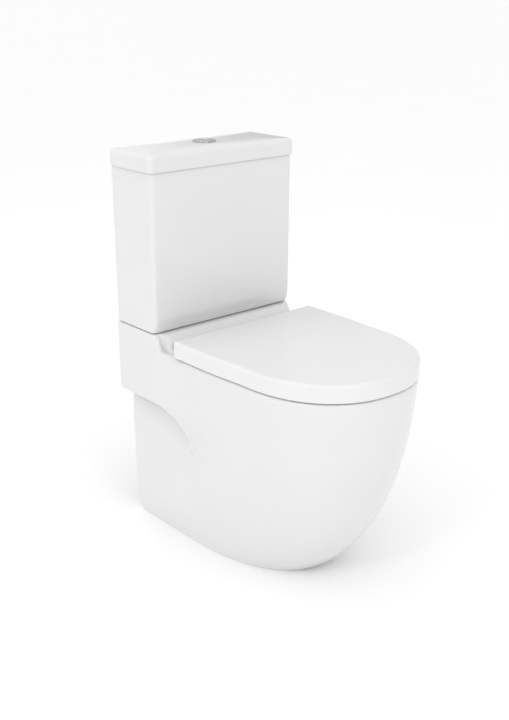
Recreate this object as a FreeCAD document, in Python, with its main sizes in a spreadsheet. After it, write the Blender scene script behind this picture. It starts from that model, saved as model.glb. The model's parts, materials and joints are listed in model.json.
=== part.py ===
import FreeCAD, Part
import Sketcher
import math
import os
import re

# Close coupled toilet. +X is the user's left when seated, +Y points to the wall, +Z is up.
# The origin is on the floor, on the plane of symmetry, half way between the wall and the seat's tip.

Vector = FreeCAD.Vector
doc = FreeCAD.newDocument("close_coupled_toilet")
sheet = doc.addObject("Spreadsheet::Sheet", "sizes")

SIZES = {
    # whole object
    "wall": 293.0,              # y of the wall plane
    # pan, outside
    "deck_top": 441.0,
    "rim_top": 412.0,
    "deck_half": 175.6,
    "foot_half": 132.5,
    "foot_reach": 416.0,
    "foot_straight": 173.0,
    "rim_half": 172.2,
    "rim_reach": 584.5,
    "rim_straight": 392.0,
    "nose_power": 2.24,
    "pedestal_half": 146.0,
    "pedestal_blend": 90.0,
    "deck_under": 286.0,
    "china": 12.0,
    "cast_gap": 0.1,            # between the pan and the bowl, two nodes of one casting
    # pan, deck and its steps, as distances from the wall and levels
    "deck_front": 134.0,
    "ledge_front": 151.0,
    "ledge_top": 429.0,
    "ledge_foot": 160.0,        # the ledge drops steeply to this place, then eases into the rim
    "ledge_foot_rise": 4.0,
    "trough_front": 175.0,
    "deck_slab": 14.0,
    # pan, bowl and waterway
    "bowl_centre": 392.0,
    "bowl_half_length": 152.0,
    "bowl_half_width": 124.0,
    "sump_centre": 296.0,
    "sump_half_length": 38.0,
    "sump_half_width": 36.0,
    "sump_floor": 130.0,
    "trap_radius": 34.0,
    "spigot_radius": 51.0,
    "spigot_level": 180.0,
    "spigot_end": 32.0,
    "spigot_length": 44.0,
    "inlet_radius": 33.0,
    "inlet_recess_radius": 50.0,
    "inlet_recess_depth": 22.0,
    # cistern
    "tank_centre": 66.0,        # distance from the wall to the centre line of the fittings
    "tank_half": 175.2,
    "tank_depth_top": 130.0,
    "tank_depth_bottom": 120.4,
    "tank_depth_low": 127.5,
    "tank_roll": 30.0,
    "tank_base": 443.0,
    "tank_top": 753.1,
    "tank_wall": 9.0,
    "tank_floor": 10.0,
    "tank_hole": 32.0,
    "tank_corner": 8.0,
    "tank_knee": 60.0,
    "tank_edge": 2.0,
    "bolt_offset": 75.0,
    "bolt_radius": 4.0,
    "bolt_hole": 5.0,
    "bolt_head_radius": 8.0,
    "bolt_length": 54.0,
    "bolt_gap": 0.1,
    "buffer_radius": 7.0,
    "buffer_offset": 150.0,
    "inlet_offset": 104.0,
    "inlet_tail_radius": 10.48,
    "inlet_root_radius": 10.3,
    "inlet_hole": 11.5,
    "inlet_access": 19.0,
    # cistern lid and buttons
    "cover_half": 178.6,
    "cover_depth": 133.4,
    "cover_base": 753.4,
    "cover_top": 790.0,
    "cover_shoulder": 787.0,
    "cover_plate": 8.0,
    "cover_wall": 8.0,
    "cover_corner": 10.0,
    "cover_round": 9.0,
    "rib_offset": 160.0,
    "rib_half": 3.0,
    "rib_drop": 10.0,
    "button_hole": 20.0,
    "bezel_radius": 23.5,
    "button_radius": 17.2,
    "button_split": 4.0,
    "button_rise": 2.8,
    "button_height": 9.0,
    "bezel_throat": 19.4,
    "bezel_depth": 26.0,
    "button_nut_radius": 27.0,
    "spring_radius": 4.4,
    "spring_wire": 0.5,
    "spring_length": 16.6,
    "spring_turns": 6.0,
    "rod_full": -8.0,
    "rod_half": 9.5,
    "rod_radius": 3.0,
    "rod_end": 706.5,
    # seat
    "seat_rear": 186.0,
    "seat_half": 178.0,
    "seat_side_half": 172.6,
    "seat_straight": 390.0,
    "seat_reach": 586.0,
    "lid_base": 414.6,
    "lid_top": 447.0,
    "lid_wall": 4.6,
    "lid_draft": 2.0,
    "lid_round": 4.5,
    "ring_round": 5.0,
    "pad_radius": 7.0,
    "pad_gap": 0.3,
    "ring_base": 418.0,
    "ring_top": 436.0,
    "ring_gap": 7.5,
    "ring_rear": 224.0,
    "hinge_depth": 195.0,       # distance from the wall to the hinge axis
    "hinge_level": 435.0,
    "hinge_offset": 77.5,
    "hinge_hole": 8.0,
    "knuckle_radius": 6.6,
    "stud_radius": 4.0,
    "stud_back": 5.0,           # how far the studs stand in front of the hinge axis
    "pin_radius": 4.0,
    "running_gap": 0.06,
    # valves
    "valve_thread": 28.5,       # radius of the flush valve's tail
    "valve_flange": 46.0,
    "cage_post_offset": 28.0,
    "cage_post_radius": 4.0,
    "overflow_radius": 16.0,
    "overflow_bore": 13.5,
    "overflow_height": 206.0,
    "link_radius": 2.0,
    "link_head": 5.5,
    "rocker_pin_radius": 2.5,
    "rocker_level": 702.0,
    "rocker_pivot": 26.0,
    "link_offset": 44.0,
    "column_radius": 12.0,
    "column_bore": 7.0,
    "inlet_flange": 15.6,
    "float_radius": 34.0,
    "float_height": 72.0,
    "lever_pin_radius": 2.0,
    "lever_level": 705.0,
    "lever_pivot": 122.0,
    "float_link": 76.0,
    # floor brackets
    "bracket_offset": 96.0,
    "bracket_depth": 100.0,
    "bracket_hole": 4.2,
    "bracket_thickness": 5.0,
    "bracket_width": 40.0,
    "screw_radius": 3.0,
    "screw_level": 29.0,
}

for row, (alias, value) in enumerate(SIZES.items(), start=1):
    sheet.set(f"A{row}", alias)
    sheet.set(f"B{row}", str(value))
    sheet.setAlias(f"B{row}", alias)
doc.recompute()

NODES = []


def size(alias):
    """Value of one cell of the sheet."""
    return float(getattr(sheet, alias))


def number(text):
    """Value of an expression in the sheet's names."""
    plain = re.sub(r"[a-z_]+", lambda m: str(size(m[0])) if m[0] in SIZES else m[0], str(text))
    return FreeCAD.Units.parseQuantity(plain).Value


def expr(text):
    """Expression text with every size name pointed at the sheet."""
    return re.sub(r"[a-z_]+", lambda m: f"sizes.{m[0]}" if m[0] in SIZES else m[0], str(text))


def node(label, obj):
    """Makes an object a sub-part of the toilet under its own label."""
    obj.Label = label
    NODES.append(obj)
    return obj


def place(obj, x=0, y=0, z=0):
    """Binds an object's position to the sheet."""
    for axis, text in zip("xyz", (x, y, z)):
        obj.setExpression(f"Placement.Base.{axis}", expr(text))
    return obj


TURNS = {
    "z": FreeCAD.Rotation(),
    "y": FreeCAD.Rotation(Vector(1, 0, 0), -90),
    "x": FreeCAD.Rotation(Vector(0, 1, 0), 90),
}


def cylinder(name, radius, height, x=0, y=0, z=0, axis="z"):
    """Cylinder from a base centre along +X, +Y or +Z."""
    obj = doc.addObject("Part::Cylinder", name)
    obj.setExpression("Radius", expr(radius))
    obj.setExpression("Height", expr(height))
    obj.Placement.Rotation = TURNS[axis]
    return place(obj, x, y, z)


def cone(name, low_radius, high_radius, height, x=0, y=0, z=0):
    obj = doc.addObject("Part::Cone", name)
    obj.setExpression("Radius1", expr(low_radius))
    obj.setExpression("Radius2", expr(high_radius))
    obj.setExpression("Height", expr(height))
    return place(obj, x, y, z)


def box(name, length, width, height, x=0, y=0, z=0):
    """Box from its lowest corner; x and y give the middle of its length and width."""
    obj = doc.addObject("Part::Box", name)
    obj.setExpression("Length", expr(length))
    obj.setExpression("Width", expr(width))
    obj.setExpression("Height", expr(height))
    return place(obj, f"({x}) - ({length}) / 2", f"({y}) - ({width}) / 2", z)


def fuse(name, *shapes):
    obj = doc.addObject("Part::MultiFuse", name)
    obj.Shapes = list(shapes)
    obj.Refine = True
    return obj


def cut(name, base, *tools):
    tool = tools[0] if len(tools) == 1 else fuse(f"{name}_tools", *tools)
    obj = doc.addObject("Part::Cut", name)
    obj.Base = base
    obj.Tool = tool
    return obj


def tube(name, outer, inner, height, x=0, y=0, z=0, axis="z"):
    """Ring or pipe: an outer cylinder less an inner one of the same height."""
    wall = cylinder(f"{name}_outer", outer, height, x, y, z, axis)
    hole = cylinder(f"{name}_inner", inner, height, x, y, z, axis)
    return cut(name, wall, hole)


def mirrored(name, source):
    """Mirror image of an object across the plane of symmetry."""
    obj = doc.addObject("Part::Mirroring", name)
    obj.Source = source
    obj.Normal = Vector(1, 0, 0)
    return obj


def pair(name, source):
    """Two separate solids, one each side of the plane of symmetry."""
    obj = doc.addObject("Part::Compound", name)
    obj.Links = [source, mirrored(f"{name}_other", source)]
    return obj


def feature(name, shape):
    """Shape that no document feature makes, computed from the sheet."""
    obj = doc.addObject("Part::Feature", name)
    obj.Shape = shape
    return obj


def loft(name, sections):
    obj = doc.addObject("Part::Loft", name)
    obj.Sections = sections
    obj.Solid = True
    return obj


def rounded(name, base, radius, wanted):
    """Fillet of the edges that a test picks out."""
    doc.recompute()
    picked = [i for i, edge in enumerate(base.Shape.Edges, start=1) if wanted(edge)]
    obj = doc.addObject("Part::Fillet", name)
    obj.Base = base
    obj.Edges = [(i, radius, radius) for i in picked]
    return obj


def body(name, x=0, y=0, z=0):
    return place(doc.addObject("PartDesign::Body", name), x, y, z)


def outline(owner, name, role, points):
    """Closed polygon sketch on a base plane; every corner is bound to the sheet."""
    sketch = owner.newObject("Sketcher::SketchObject", name)
    plane = [f for f in owner.Origin.OriginFeatures if f.Role == role][0]
    sketch.AttachmentSupport = [(plane, "")]
    sketch.MapMode = "FlatFace"
    count = len(points)
    values = [[number(text) for text in point] for point in points]
    for i in range(count):
        start = Vector(*values[i], 0)
        end = Vector(*values[(i + 1) % count], 0)
        sketch.addGeometry(Part.LineSegment(start, end))
    for i in range(count):
        sketch.addConstraint(Sketcher.Constraint("Coincident", i, 2, (i + 1) % count, 1))
    for i, point in enumerate(points):
        for kind, text, value in zip(("DistanceX", "DistanceY"), point, values[i]):
            index = sketch.addConstraint(Sketcher.Constraint(kind, -1, 1, i, 1, value))
            sketch.setExpression(f"Constraints[{index}]", expr(text))
    return sketch


def pad(owner, sketch, length, both_ways=True):
    """Pad of a sketch, half of it each way."""
    obj = owner.newObject("PartDesign::Pad", f"{sketch.Name}_pad")
    obj.Profile = sketch
    obj.Midplane = both_ways
    obj.setExpression("Length", expr(length))
    return obj


def pocket(owner, sketch, length):
    """Pocket of a sketch, half of it each way."""
    obj = owner.newObject("PartDesign::Pocket", f"{sketch.Name}_pocket")
    obj.Profile = sketch
    obj.Midplane = True
    obj.setExpression("Length", expr(length))
    return obj


def revolve(owner, sketch):
    """Full turn of a sketch about its own vertical axis."""
    obj = owner.newObject("PartDesign::Revolution", f"{sketch.Name}_turn")
    obj.Profile = sketch
    obj.ReferenceAxis = (sketch, ["V_Axis"])
    obj.Angle = 360
    return obj


def turned(label, points, x=0, y=0, z=0):
    """Sub-part turned from one half section: radii and levels."""
    owner = body(label, x, y, z)
    revolve(owner, outline(owner, f"{label}_section", "XZ_Plane", points))
    return owner


def soften(owner, name, radius, wanted):
    """PartDesign fillet of the tip's edges that a test picks out."""
    doc.recompute()
    tip = owner.Tip
    names = [f"Edge{i}" for i, edge in enumerate(tip.Shape.Edges, start=1) if wanted(edge)]
    obj = owner.newObject("PartDesign::Fillet", name)
    obj.Base = (tip, names)
    obj.Radius = radius
    return obj


def along(edge, axis):
    """True for a straight edge parallel to an axis."""
    if not isinstance(edge.Curve, Part.Line):
        return False
    return abs(getattr(edge.Curve.Direction, axis)) > 0.999


def middle(edge):
    return edge.CenterOfMass


# ---------------------------------------------------------------- outlines of pan and seat

def smooth(ratio):
    """Eased step from 0 to 1."""
    ratio = min(max(ratio, 0.0), 1.0)
    return ratio * ratio * (3 - 2 * ratio)


def nose_points(side_half, straight, reach, count=7):
    """Super-elliptic nose from the end of one side to the tip: half widths and wall distances."""
    power = 2 / size("nose_power")
    points = []
    for step in range(1, count + 1):
        angle = math.pi / 2 * step / count
        half = side_half * max(math.cos(angle), 0.0) ** power
        points.append((half, straight + (reach - straight) * math.sin(angle) ** power))
    return points


def outline_wire(level, rear, rear_half, side_half, straight, reach, flat_share=0.5):
    """Closed wire at one level: straight back, straight start of each side, one smooth nose."""
    wall = size("wall")
    waist = rear + flat_share * (straight - rear)
    side = [(rear_half, waist)]
    for step in range(1, 4):
        ratio = step / 3
        half = rear_half + (side_half - rear_half) * smooth(ratio)
        side.append((half, waist + (straight - waist) * ratio))
    half_line = side + nose_points(side_half, straight, reach)
    right = [Vector(half, wall - depth, level) for half, depth in half_line]
    left = [Vector(-point.x, point.y, level) for point in reversed(right[:-1])]
    nose = Part.BSplineCurve()
    nose.interpolate(Points=right + left, InitialTangent=Vector(0, -1, 0), FinalTangent=Vector(0, 1, 0))
    corner = Vector(rear_half, wall - rear, level)
    other = Vector(-rear_half, wall - rear, level)
    edges = [
        Part.LineSegment(other, corner).toShape(),
        Part.LineSegment(corner, right[0]).toShape(),
        nose.toShape(),
        Part.LineSegment(left[-1], other).toShape(),
    ]
    return Part.Wire(edges)


def pedestal_half(level):
    """Half width of the recessed pedestal."""
    rise = min(level / size("pedestal_blend"), 1.0)
    gain = size("pedestal_half") - size("foot_half")
    return size("foot_half") + gain * (1 - (1 - rise) ** 2)


def pan_section(name, level, inset, rear=0.0, narrow=False):
    """Outline of the pan at one level, moved inwards by an inset."""
    rise = min(max(level / size("rim_top"), 0.0), 1.0)
    reach_gain = (1 - (1 - rise) ** 2.45) ** (1 / 1.17)
    width_gain = (1 - (1 - rise) ** 1.76) ** (1 / 1.25)
    reach = size("foot_reach") + (size("rim_reach") - size("foot_reach")) * reach_gain
    side = size("foot_half") + (size("rim_half") - size("foot_half")) * width_gain
    straight = size("foot_straight") + (size("rim_straight") - size("foot_straight")) * rise
    back = pedestal_half(level)
    if not narrow:
        back = back - 0.6 + (size("deck_half") - back + 0.6) * smooth((level - 190) / 115)
    return feature(name, outline_wire(level, rear, back - inset, side - inset, straight, reach - inset, 0.68))


# ---------------------------------------------------------------- pan

def ellipse(name, level, centre, half_length, half_width):
    """Elliptic section of the bowl at one level."""
    major = Vector(0, size("wall") - centre + half_length, level)
    minor = Vector(half_width, size("wall") - centre, level)
    curve = Part.Ellipse(major, minor, Vector(0, size("wall") - centre, level))
    return feature(name, Part.Wire([curve.toShape()]))


def bowl(name, grow, top, floor):
    """Basin from rim to sump; grow is the thickness added all round."""
    levels = [floor, 200, 262, 330, top]
    sections = []
    for number_, level in enumerate(levels):
        rise = smooth((level - size("sump_floor")) / (size("rim_top") - size("sump_floor"))) ** 0.8
        centre = size("sump_centre") + (size("bowl_centre") - size("sump_centre")) * rise
        length = size("sump_half_length") + (size("bowl_half_length") - size("sump_half_length")) * rise
        width = size("sump_half_width") + (size("bowl_half_width") - size("sump_half_width")) * rise
        sections.append(ellipse(f"{name}_{number_}", level, centre, length + grow, width + grow))
    return loft(name, sections)


def waterway(name, radius):
    """Trapway: straight runs with ball joints, from the sump over the weir to the outlet."""
    outlet = size("spigot_level")
    stations = [(300, 168), (214, 168), (172, 258), (128, 250), (112, outlet), (46, outlet)]
    wall = size("wall")
    shapes = []
    points = [Vector(0, wall - depth, level) for depth, level in stations]
    for start, end in zip(points, points[1:]):
        run = end - start
        shapes.append(Part.makeCylinder(radius, run.Length, start, run))
    for point in points[:-1]:
        shapes.append(Part.makeSphere(radius, point))
    return feature(name, shapes[0].fuse(shapes[1:]).removeSplitter())


def side_profile(name, points, half):
    """Prism across the toilet from a side view: wall distances and levels."""
    wall = size("wall")
    corners = [Vector(-half, wall - depth, level) for depth, level in points]
    face = Part.Face(Part.makePolygon(corners + corners[:1]))
    return feature(name, face.extrude(Vector(2 * half, 0, 0)))


def make_pan():
    outer = loft("pan_outer", [
        pan_section(f"pan_outer_{step}", level, 0.0)
        for step, level in enumerate((0, 37, 74, 111, 148, 190, 230, 270, 310, 360,
                                      size("rim_top"), size("deck_top")))
    ])
    hollow = loft("pan_hollow", [
        pan_section(f"pan_hollow_{step}", level, size("china"), rear=-20.0, narrow=True)
        for step, level in enumerate((-37, 0, 37, 74, 111, 148, 190, 250, 300, 350, 396))
    ])
    sky = size("deck_top") + 18
    beyond = size("rim_reach") + 50
    above = side_profile("pan_above", [
        (size("deck_front"), sky), (size("deck_front"), size("deck_top")),
        (size("ledge_front"), size("ledge_top")),
        (size("ledge_foot"), size("rim_top") + size("ledge_foot_rise")),
        (size("trough_front"), size("rim_top")),
        (beyond, size("rim_top")), (beyond, sky)], size("deck_half") + 40)
    under = make_recess()
    shell = cut("pan_shell", outer, above, hollow, *under)
    deck_space = box("deck_space", "2 * (deck_half - china)", "156", "deck_top - deck_slab - 318",
                     0, "wall - 58", "318")
    boss = cylinder("inlet_boss", "inlet_recess_radius + 8", "64", 0, "wall - tank_centre", "372")
    recess = cylinder("inlet_recess", "inlet_recess_radius", "inlet_recess_depth + 10", 0,
                      "wall - tank_centre", "deck_top - inlet_recess_depth")
    bore = cylinder("inlet_bore", "inlet_radius", "60", 0, "wall - tank_centre", "382")
    duct = box("duct_outside", "84", "175", "42", 0, "wall - 153", "370")
    duct_space = box("duct_inside", "60", "190", "20", 0, "wall - 165", "382")
    lug = box("fixing_lug", "20", "26", "26", 124, "wall - bracket_depth", "16")
    lug_hole = cylinder("lug_hole", "screw_radius + 0.2", "16", 112, "wall - bracket_depth",
                        "screw_level", "x")
    bolt_way = cylinder("bolt_way", "bolt_hole", "60", "bolt_offset", "wall - tank_centre", "410")
    hinge_way = cylinder("hinge_way", "hinge_hole", "60", "hinge_offset", "wall - hinge_depth - stud_back",
                        "380")
    access = cylinder("inlet_access_hole", "inlet_access", "60", "inlet_offset", "wall - tank_centre", "400")
    bowl_room = bowl("bowl_room", size("china"), size("rim_top") + 6, size("sump_floor") - size("china"))
    solids = fuse("pan_solids", cut("pan_deck", shell, deck_space), boss, duct,
                  lug, mirrored("fixing_lug_other", lug))
    node("pan", cut(
        "pan", solids, bowl_room, recess, bore, duct_space,
        lug_hole, mirrored("lug_hole_other", lug_hole), bolt_way, mirrored("bolt_way_other", bolt_way),
        hinge_way, mirrored("hinge_way_other", hinge_way), access))
    make_waterway(duct_space, above)


def make_waterway(duct_space, above):
    """Bowl, trap and outlet spigot, cast in one with the pan but kept as a node of their own."""
    thickness = size("china") - size("cast_gap")
    basin = bowl("basin_outside", thickness, size("rim_top") + 6, size("sump_floor") - thickness)
    basin_space = bowl("basin_inside", 0.0, size("rim_top") + 6, size("sump_floor"))
    trap = waterway("trap_outside", size("trap_radius") + 10)
    trap_space = waterway("trap_inside", size("trap_radius"))
    spigot = cylinder("spigot", "spigot_radius", "spigot_length", 0,
                      "wall - spigot_end - spigot_length", "spigot_level", "y")
    spigot_space = cylinder("spigot_space", "trap_radius + 7", "spigot_length", 0,
                            "wall - spigot_end - spigot_length + 10", "spigot_level", "y")
    solids = fuse("waterway_solids", basin, trap, spigot)
    node("bowl_and_trap", cut("bowl_and_trap", solids, above, basin_space, trap_space, spigot_space,
                              duct_space))


def make_recess():
    """Side recesses under the deck: everything outside the pedestal behind the swept crease."""
    top = size("deck_under")
    points = [(-20, top - 100), (-20, top), (90, top), (124, top - 5.5), (152, top - 13.5),
              (170, top - 27), (182, top - 43), (217.5, top - 100)]
    wall = size("wall")
    half = size("pedestal_half")
    tools = []
    for side in (1, -1):
        corners = [Vector(side * half, wall - depth, level) for depth, level in points]
        first, second, third = corners[0], corners[1], corners[2]
        curve = Part.BSplineCurve()
        curve.interpolate(corners[2:])
        edges = [
            Part.LineSegment(first, second).toShape(),
            Part.LineSegment(second, third).toShape(),
            curve.toShape(),
            Part.LineSegment(corners[-1], first).toShape(),
        ]
        face = Part.Face(Part.Wire(edges))
        tools.append(feature(f"side_recess_{'right' if side > 0 else 'left'}",
                             face.extrude(Vector(side * 60, 0, 0))))
    return tools


def prism(name, sides, circumradius, height, x=0, y=0, z=0):
    obj = doc.addObject("Part::Prism", name)
    obj.Polygon = sides
    obj.setExpression("Circumradius", expr(circumradius))
    obj.setExpression("Height", expr(height))
    return place(obj, x, y, z)


def holes(owner, name, circles):
    """Round holes down through a body: centres and radii bound to the sheet."""
    sketch = owner.newObject("Sketcher::SketchObject", name)
    plane = [f for f in owner.Origin.OriginFeatures if f.Role == "XY_Plane"][0]
    sketch.AttachmentSupport = [(plane, "")]
    sketch.MapMode = "FlatFace"
    for i, (x, y, radius) in enumerate(circles):
        centre = Vector(number(x), number(y), 0)
        sketch.addGeometry(Part.Circle(centre, Vector(0, 0, 1), number(radius)))
        bound = (
            (Sketcher.Constraint("Radius", i, number(radius)), radius),
            (Sketcher.Constraint("DistanceX", -1, 1, i, 3, centre.x), x),
            (Sketcher.Constraint("DistanceY", -1, 1, i, 3, centre.y), y),
        )
        for constraint, text in bound:
            index = sketch.addConstraint(constraint)
            sketch.setExpression(f"Constraints[{index}]", expr(text))
    return pocket(owner, sketch, "2000")


FITTINGS = "wall - tank_centre"     # y of the valves and bolts


# ---------------------------------------------------------------- cistern

def make_cistern():
    tank = body("cistern_body")
    front = outline(tank, "tank_side", "YZ_Plane", [
        ("wall", "tank_base"), ("wall", "tank_top"), ("wall - tank_depth_top", "tank_top"),
        ("wall - tank_depth_low", "tank_base + tank_roll"), ("wall - tank_depth_bottom", "tank_base")])
    pad(tank, front, "2 * tank_half")
    inside = outline(tank, "tank_inside", "YZ_Plane", [
        ("wall - tank_wall", "tank_base + tank_floor"), ("wall - tank_wall", "tank_top + 5"),
        ("wall - tank_depth_top + tank_wall", "tank_top + 5"),
        ("wall - tank_depth_low + tank_wall", "tank_base + tank_roll"),
        ("wall - tank_depth_bottom + tank_wall", "tank_base + tank_floor")])
    pocket(tank, inside, "2 * (tank_half - tank_wall)")
    holes(tank, "tank_holes", [
        ("0", FITTINGS, "tank_hole"), ("bolt_offset", FITTINGS, "bolt_hole"),
        ("-bolt_offset", FITTINGS, "bolt_hole"), ("inlet_offset", FITTINGS, "inlet_hole")])
    side = size("tank_half") - 1
    roll = size("tank_base") + size("tank_roll")
    soften(tank, "tank_knee_round", size("tank_knee"), lambda e: along(e, "x") and abs(middle(e).z - roll) < 1
           and e.Length > 2 * side and middle(e).y < 180)
    soften(tank, "tank_uprights", size("tank_corner"), lambda e: abs(middle(e).x) > side
           and middle(e).y < 180 and e.BoundBox.ZLength > 10)
    soften(tank, "tank_under", size("tank_edge"), lambda e: middle(e).z < size("tank_base") + 0.5
           and (abs(middle(e).x) > side - size("tank_corner") or middle(e).y < 176))
    node("cistern", tank)


def make_cistern_lid():
    cover = body("cistern_lid_body", 0, "wall - cover_depth / 2")
    front = outline(cover, "cover_front", "XZ_Plane", [
        ("-cover_half", "cover_base"), ("cover_half", "cover_base"), ("cover_half", "cover_shoulder"),
        ("0", "cover_top"), ("-cover_half", "cover_shoulder")])
    pad(cover, front, "cover_depth")
    inside = outline(cover, "cover_inside", "XZ_Plane", [
        ("-cover_half + cover_wall", "cover_base - 1"), ("cover_half - cover_wall", "cover_base - 1"),
        ("cover_half - cover_wall", "cover_shoulder - cover_plate"), ("0", "cover_top - cover_plate"),
        ("-cover_half + cover_wall", "cover_shoulder - cover_plate")])
    pocket(cover, inside, "cover_depth - 2 * cover_wall")
    for side, sign in (("right", ""), ("left", "-")):
        rib = outline(cover, f"locating_rib_{side}", "XZ_Plane", [
            (f"{sign}(rib_offset - rib_half)", "cover_base - rib_drop"),
            (f"{sign}(rib_offset + rib_half)", "cover_base - rib_drop"),
            (f"{sign}(rib_offset + rib_half)", "cover_top - cover_plate"),
            (f"{sign}(rib_offset - rib_half)", "cover_top - cover_plate")])
        pad(cover, rib, "cover_depth - 50")
    holes(cover, "button_way", [("0", "cover_depth / 2 - tank_centre", "button_hole")])
    outside = size("cover_half") - 1
    front_face = 1 - size("cover_depth") / 2
    soften(cover, "cover_corners", size("cover_corner"), lambda e: along(e, "z") and abs(middle(e).x) > outside
           and middle(e).y < front_face)
    soften(cover, "cover_edge", size("cover_round"), lambda e: middle(e).z > size("cover_shoulder") - 0.5
           and (abs(middle(e).x) > outside - size("cover_round")
                or middle(e).y < front_face + size("cover_round"))
           and e.Length > 5 and not e.isClosed())
    node("cistern_lid", cover)


def make_buttons():
    bezel = turned("button_bezel_body", [
        ("0", "-bezel_depth"), ("bezel_throat", "-bezel_depth"), ("bezel_throat", "0.3"),
        ("bezel_radius", "0.3"), ("bezel_radius", "1.2"), ("bezel_radius - 1.2", "2.4"),
        ("button_radius + 0.9", "2.4"),
        ("button_radius + 0.5", "1.8"), ("button_radius + 0.5", "2 - bezel_depth"), ("0", "2 - bezel_depth")],
        0, FITTINGS, "cover_top")
    holes(bezel, "rod_ways", [("rod_full", "0", "rod_radius + 0.5"), ("rod_half", "0", "rod_radius + 0.5")])
    node("button_bezel", bezel)
    nut = prism("nut_blank", 12, "button_nut_radius", "6", 0, FITTINGS, "cover_top - 15")
    node("button_nut", cut("button_nut", nut, cylinder(
        "nut_bore", "bezel_throat + 0.1", "6", 0, FITTINGS, "cover_top - 15")))
    low = "cover_top + button_rise - button_height"
    disc = cylinder("button_disc", "button_radius", "button_height", 0, FITTINGS, low)
    keep = {"full": "button_split - 0.4 - 20", "half": "button_split + 0.4 + 20"}
    for kind, centre in keep.items():
        side = box(f"{kind}_side", "40", "60", "20", centre, FITTINGS, "cover_top - 12")
        piece = doc.addObject("Part::Common", f"{kind}_flush_blank")
        piece.Base = disc
        piece.Tool = side
        crown = size("cover_top") + size("button_rise")
        node(f"{kind}_flush_button", rounded(f"{kind}_flush_button", piece, 0.9,
                                             lambda e: abs(middle(e).z - crown) < 0.05))
        rod = cylinder(f"{kind}_push_rod", "rod_radius", f"{low} - rod_end",
                       f"rod_{kind}", FITTINGS, "rod_end")
        node(f"{kind}_push_rod", rod)
        node(f"{kind}_button_spring", spring(f"{kind}_button_spring", size(f"rod_{kind}")))


def spring(name, x):
    """Compression spring round a push rod, between the bezel's floor and the button."""
    low = size("cover_top") - size("bezel_depth") + 2.6
    length = size("spring_length")
    radius = size("spring_radius")
    helix = Part.makeHelix(length / size("spring_turns"), length, radius)
    ring = Part.Wire([Part.makeCircle(size("spring_wire"), Vector(radius, 0, 0), Vector(0, 1, 0))])
    coil = Part.Wire(helix.Edges).makePipeShell([ring], True, True)
    obj = feature(name, coil)
    obj.Placement.Base = Vector(x, size("wall") - size("tank_centre"), low)
    return obj


# ---------------------------------------------------------------- cistern to pan

def make_coupling():
    washer = turned("doughnut_washer_body", [
        ("39", "-23.9"), ("46", "-23.9"), ("49", "-16"), ("49", "-0.3"), ("39", "-0.3")],
        0, FITTINGS, "tank_base")
    node("doughnut_washer", washer)
    head = cylinder("bolt_head", "bolt_head_radius", "5.5", "bolt_offset", FITTINGS,
                    "tank_base + tank_floor + 3")
    shank = cylinder("bolt_shank", "bolt_radius", "bolt_length", "bolt_offset", FITTINGS,
                     "tank_base + tank_floor + 3 - bolt_length")
    node("cistern_bolts", pair("cistern_bolts", fuse("cistern_bolt", head, shank)))
    node("bolt_rubber_washers", pair("bolt_rubber_washers", tube(
        "bolt_rubber_washer", "13", "bolt_radius + bolt_gap", "3", "bolt_offset", FITTINGS,
        "tank_base + tank_floor")))
    node("bolt_steel_washers", pair("bolt_steel_washers", tube(
        "bolt_steel_washer", "12", "bolt_radius + bolt_gap", "2", "bolt_offset", FITTINGS,
        "deck_top - deck_slab - 2")))
    hub = cylinder("wing_hub", "bolt_head_radius", "12", "bolt_offset", FITTINGS, "deck_top - deck_slab - 14")
    wings = box("wings", "4.5", "36", "9", "bolt_offset", FITTINGS, "deck_top - deck_slab - 14")
    bore = cylinder("wing_bore", "bolt_radius + bolt_gap", "12", "bolt_offset", FITTINGS,
                    "deck_top - deck_slab - 14")
    node("wing_nuts", pair("wing_nuts", cut("wing_nut", fuse("wing_blank", hub, wings), bore)))
    front = cylinder("front_buffer", "buffer_radius", "tank_base - deck_top", "buffer_offset",
                     "wall - 106", "deck_top")
    rear = cylinder("rear_buffer", "buffer_radius", "tank_base - deck_top", "buffer_offset",
                    "wall - 24", "deck_top")
    right = doc.addObject("Part::Compound", "right_buffers")
    right.Links = [front, rear]
    node("deck_buffers", pair("deck_buffers", right))


# ---------------------------------------------------------------- flush valve

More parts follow.
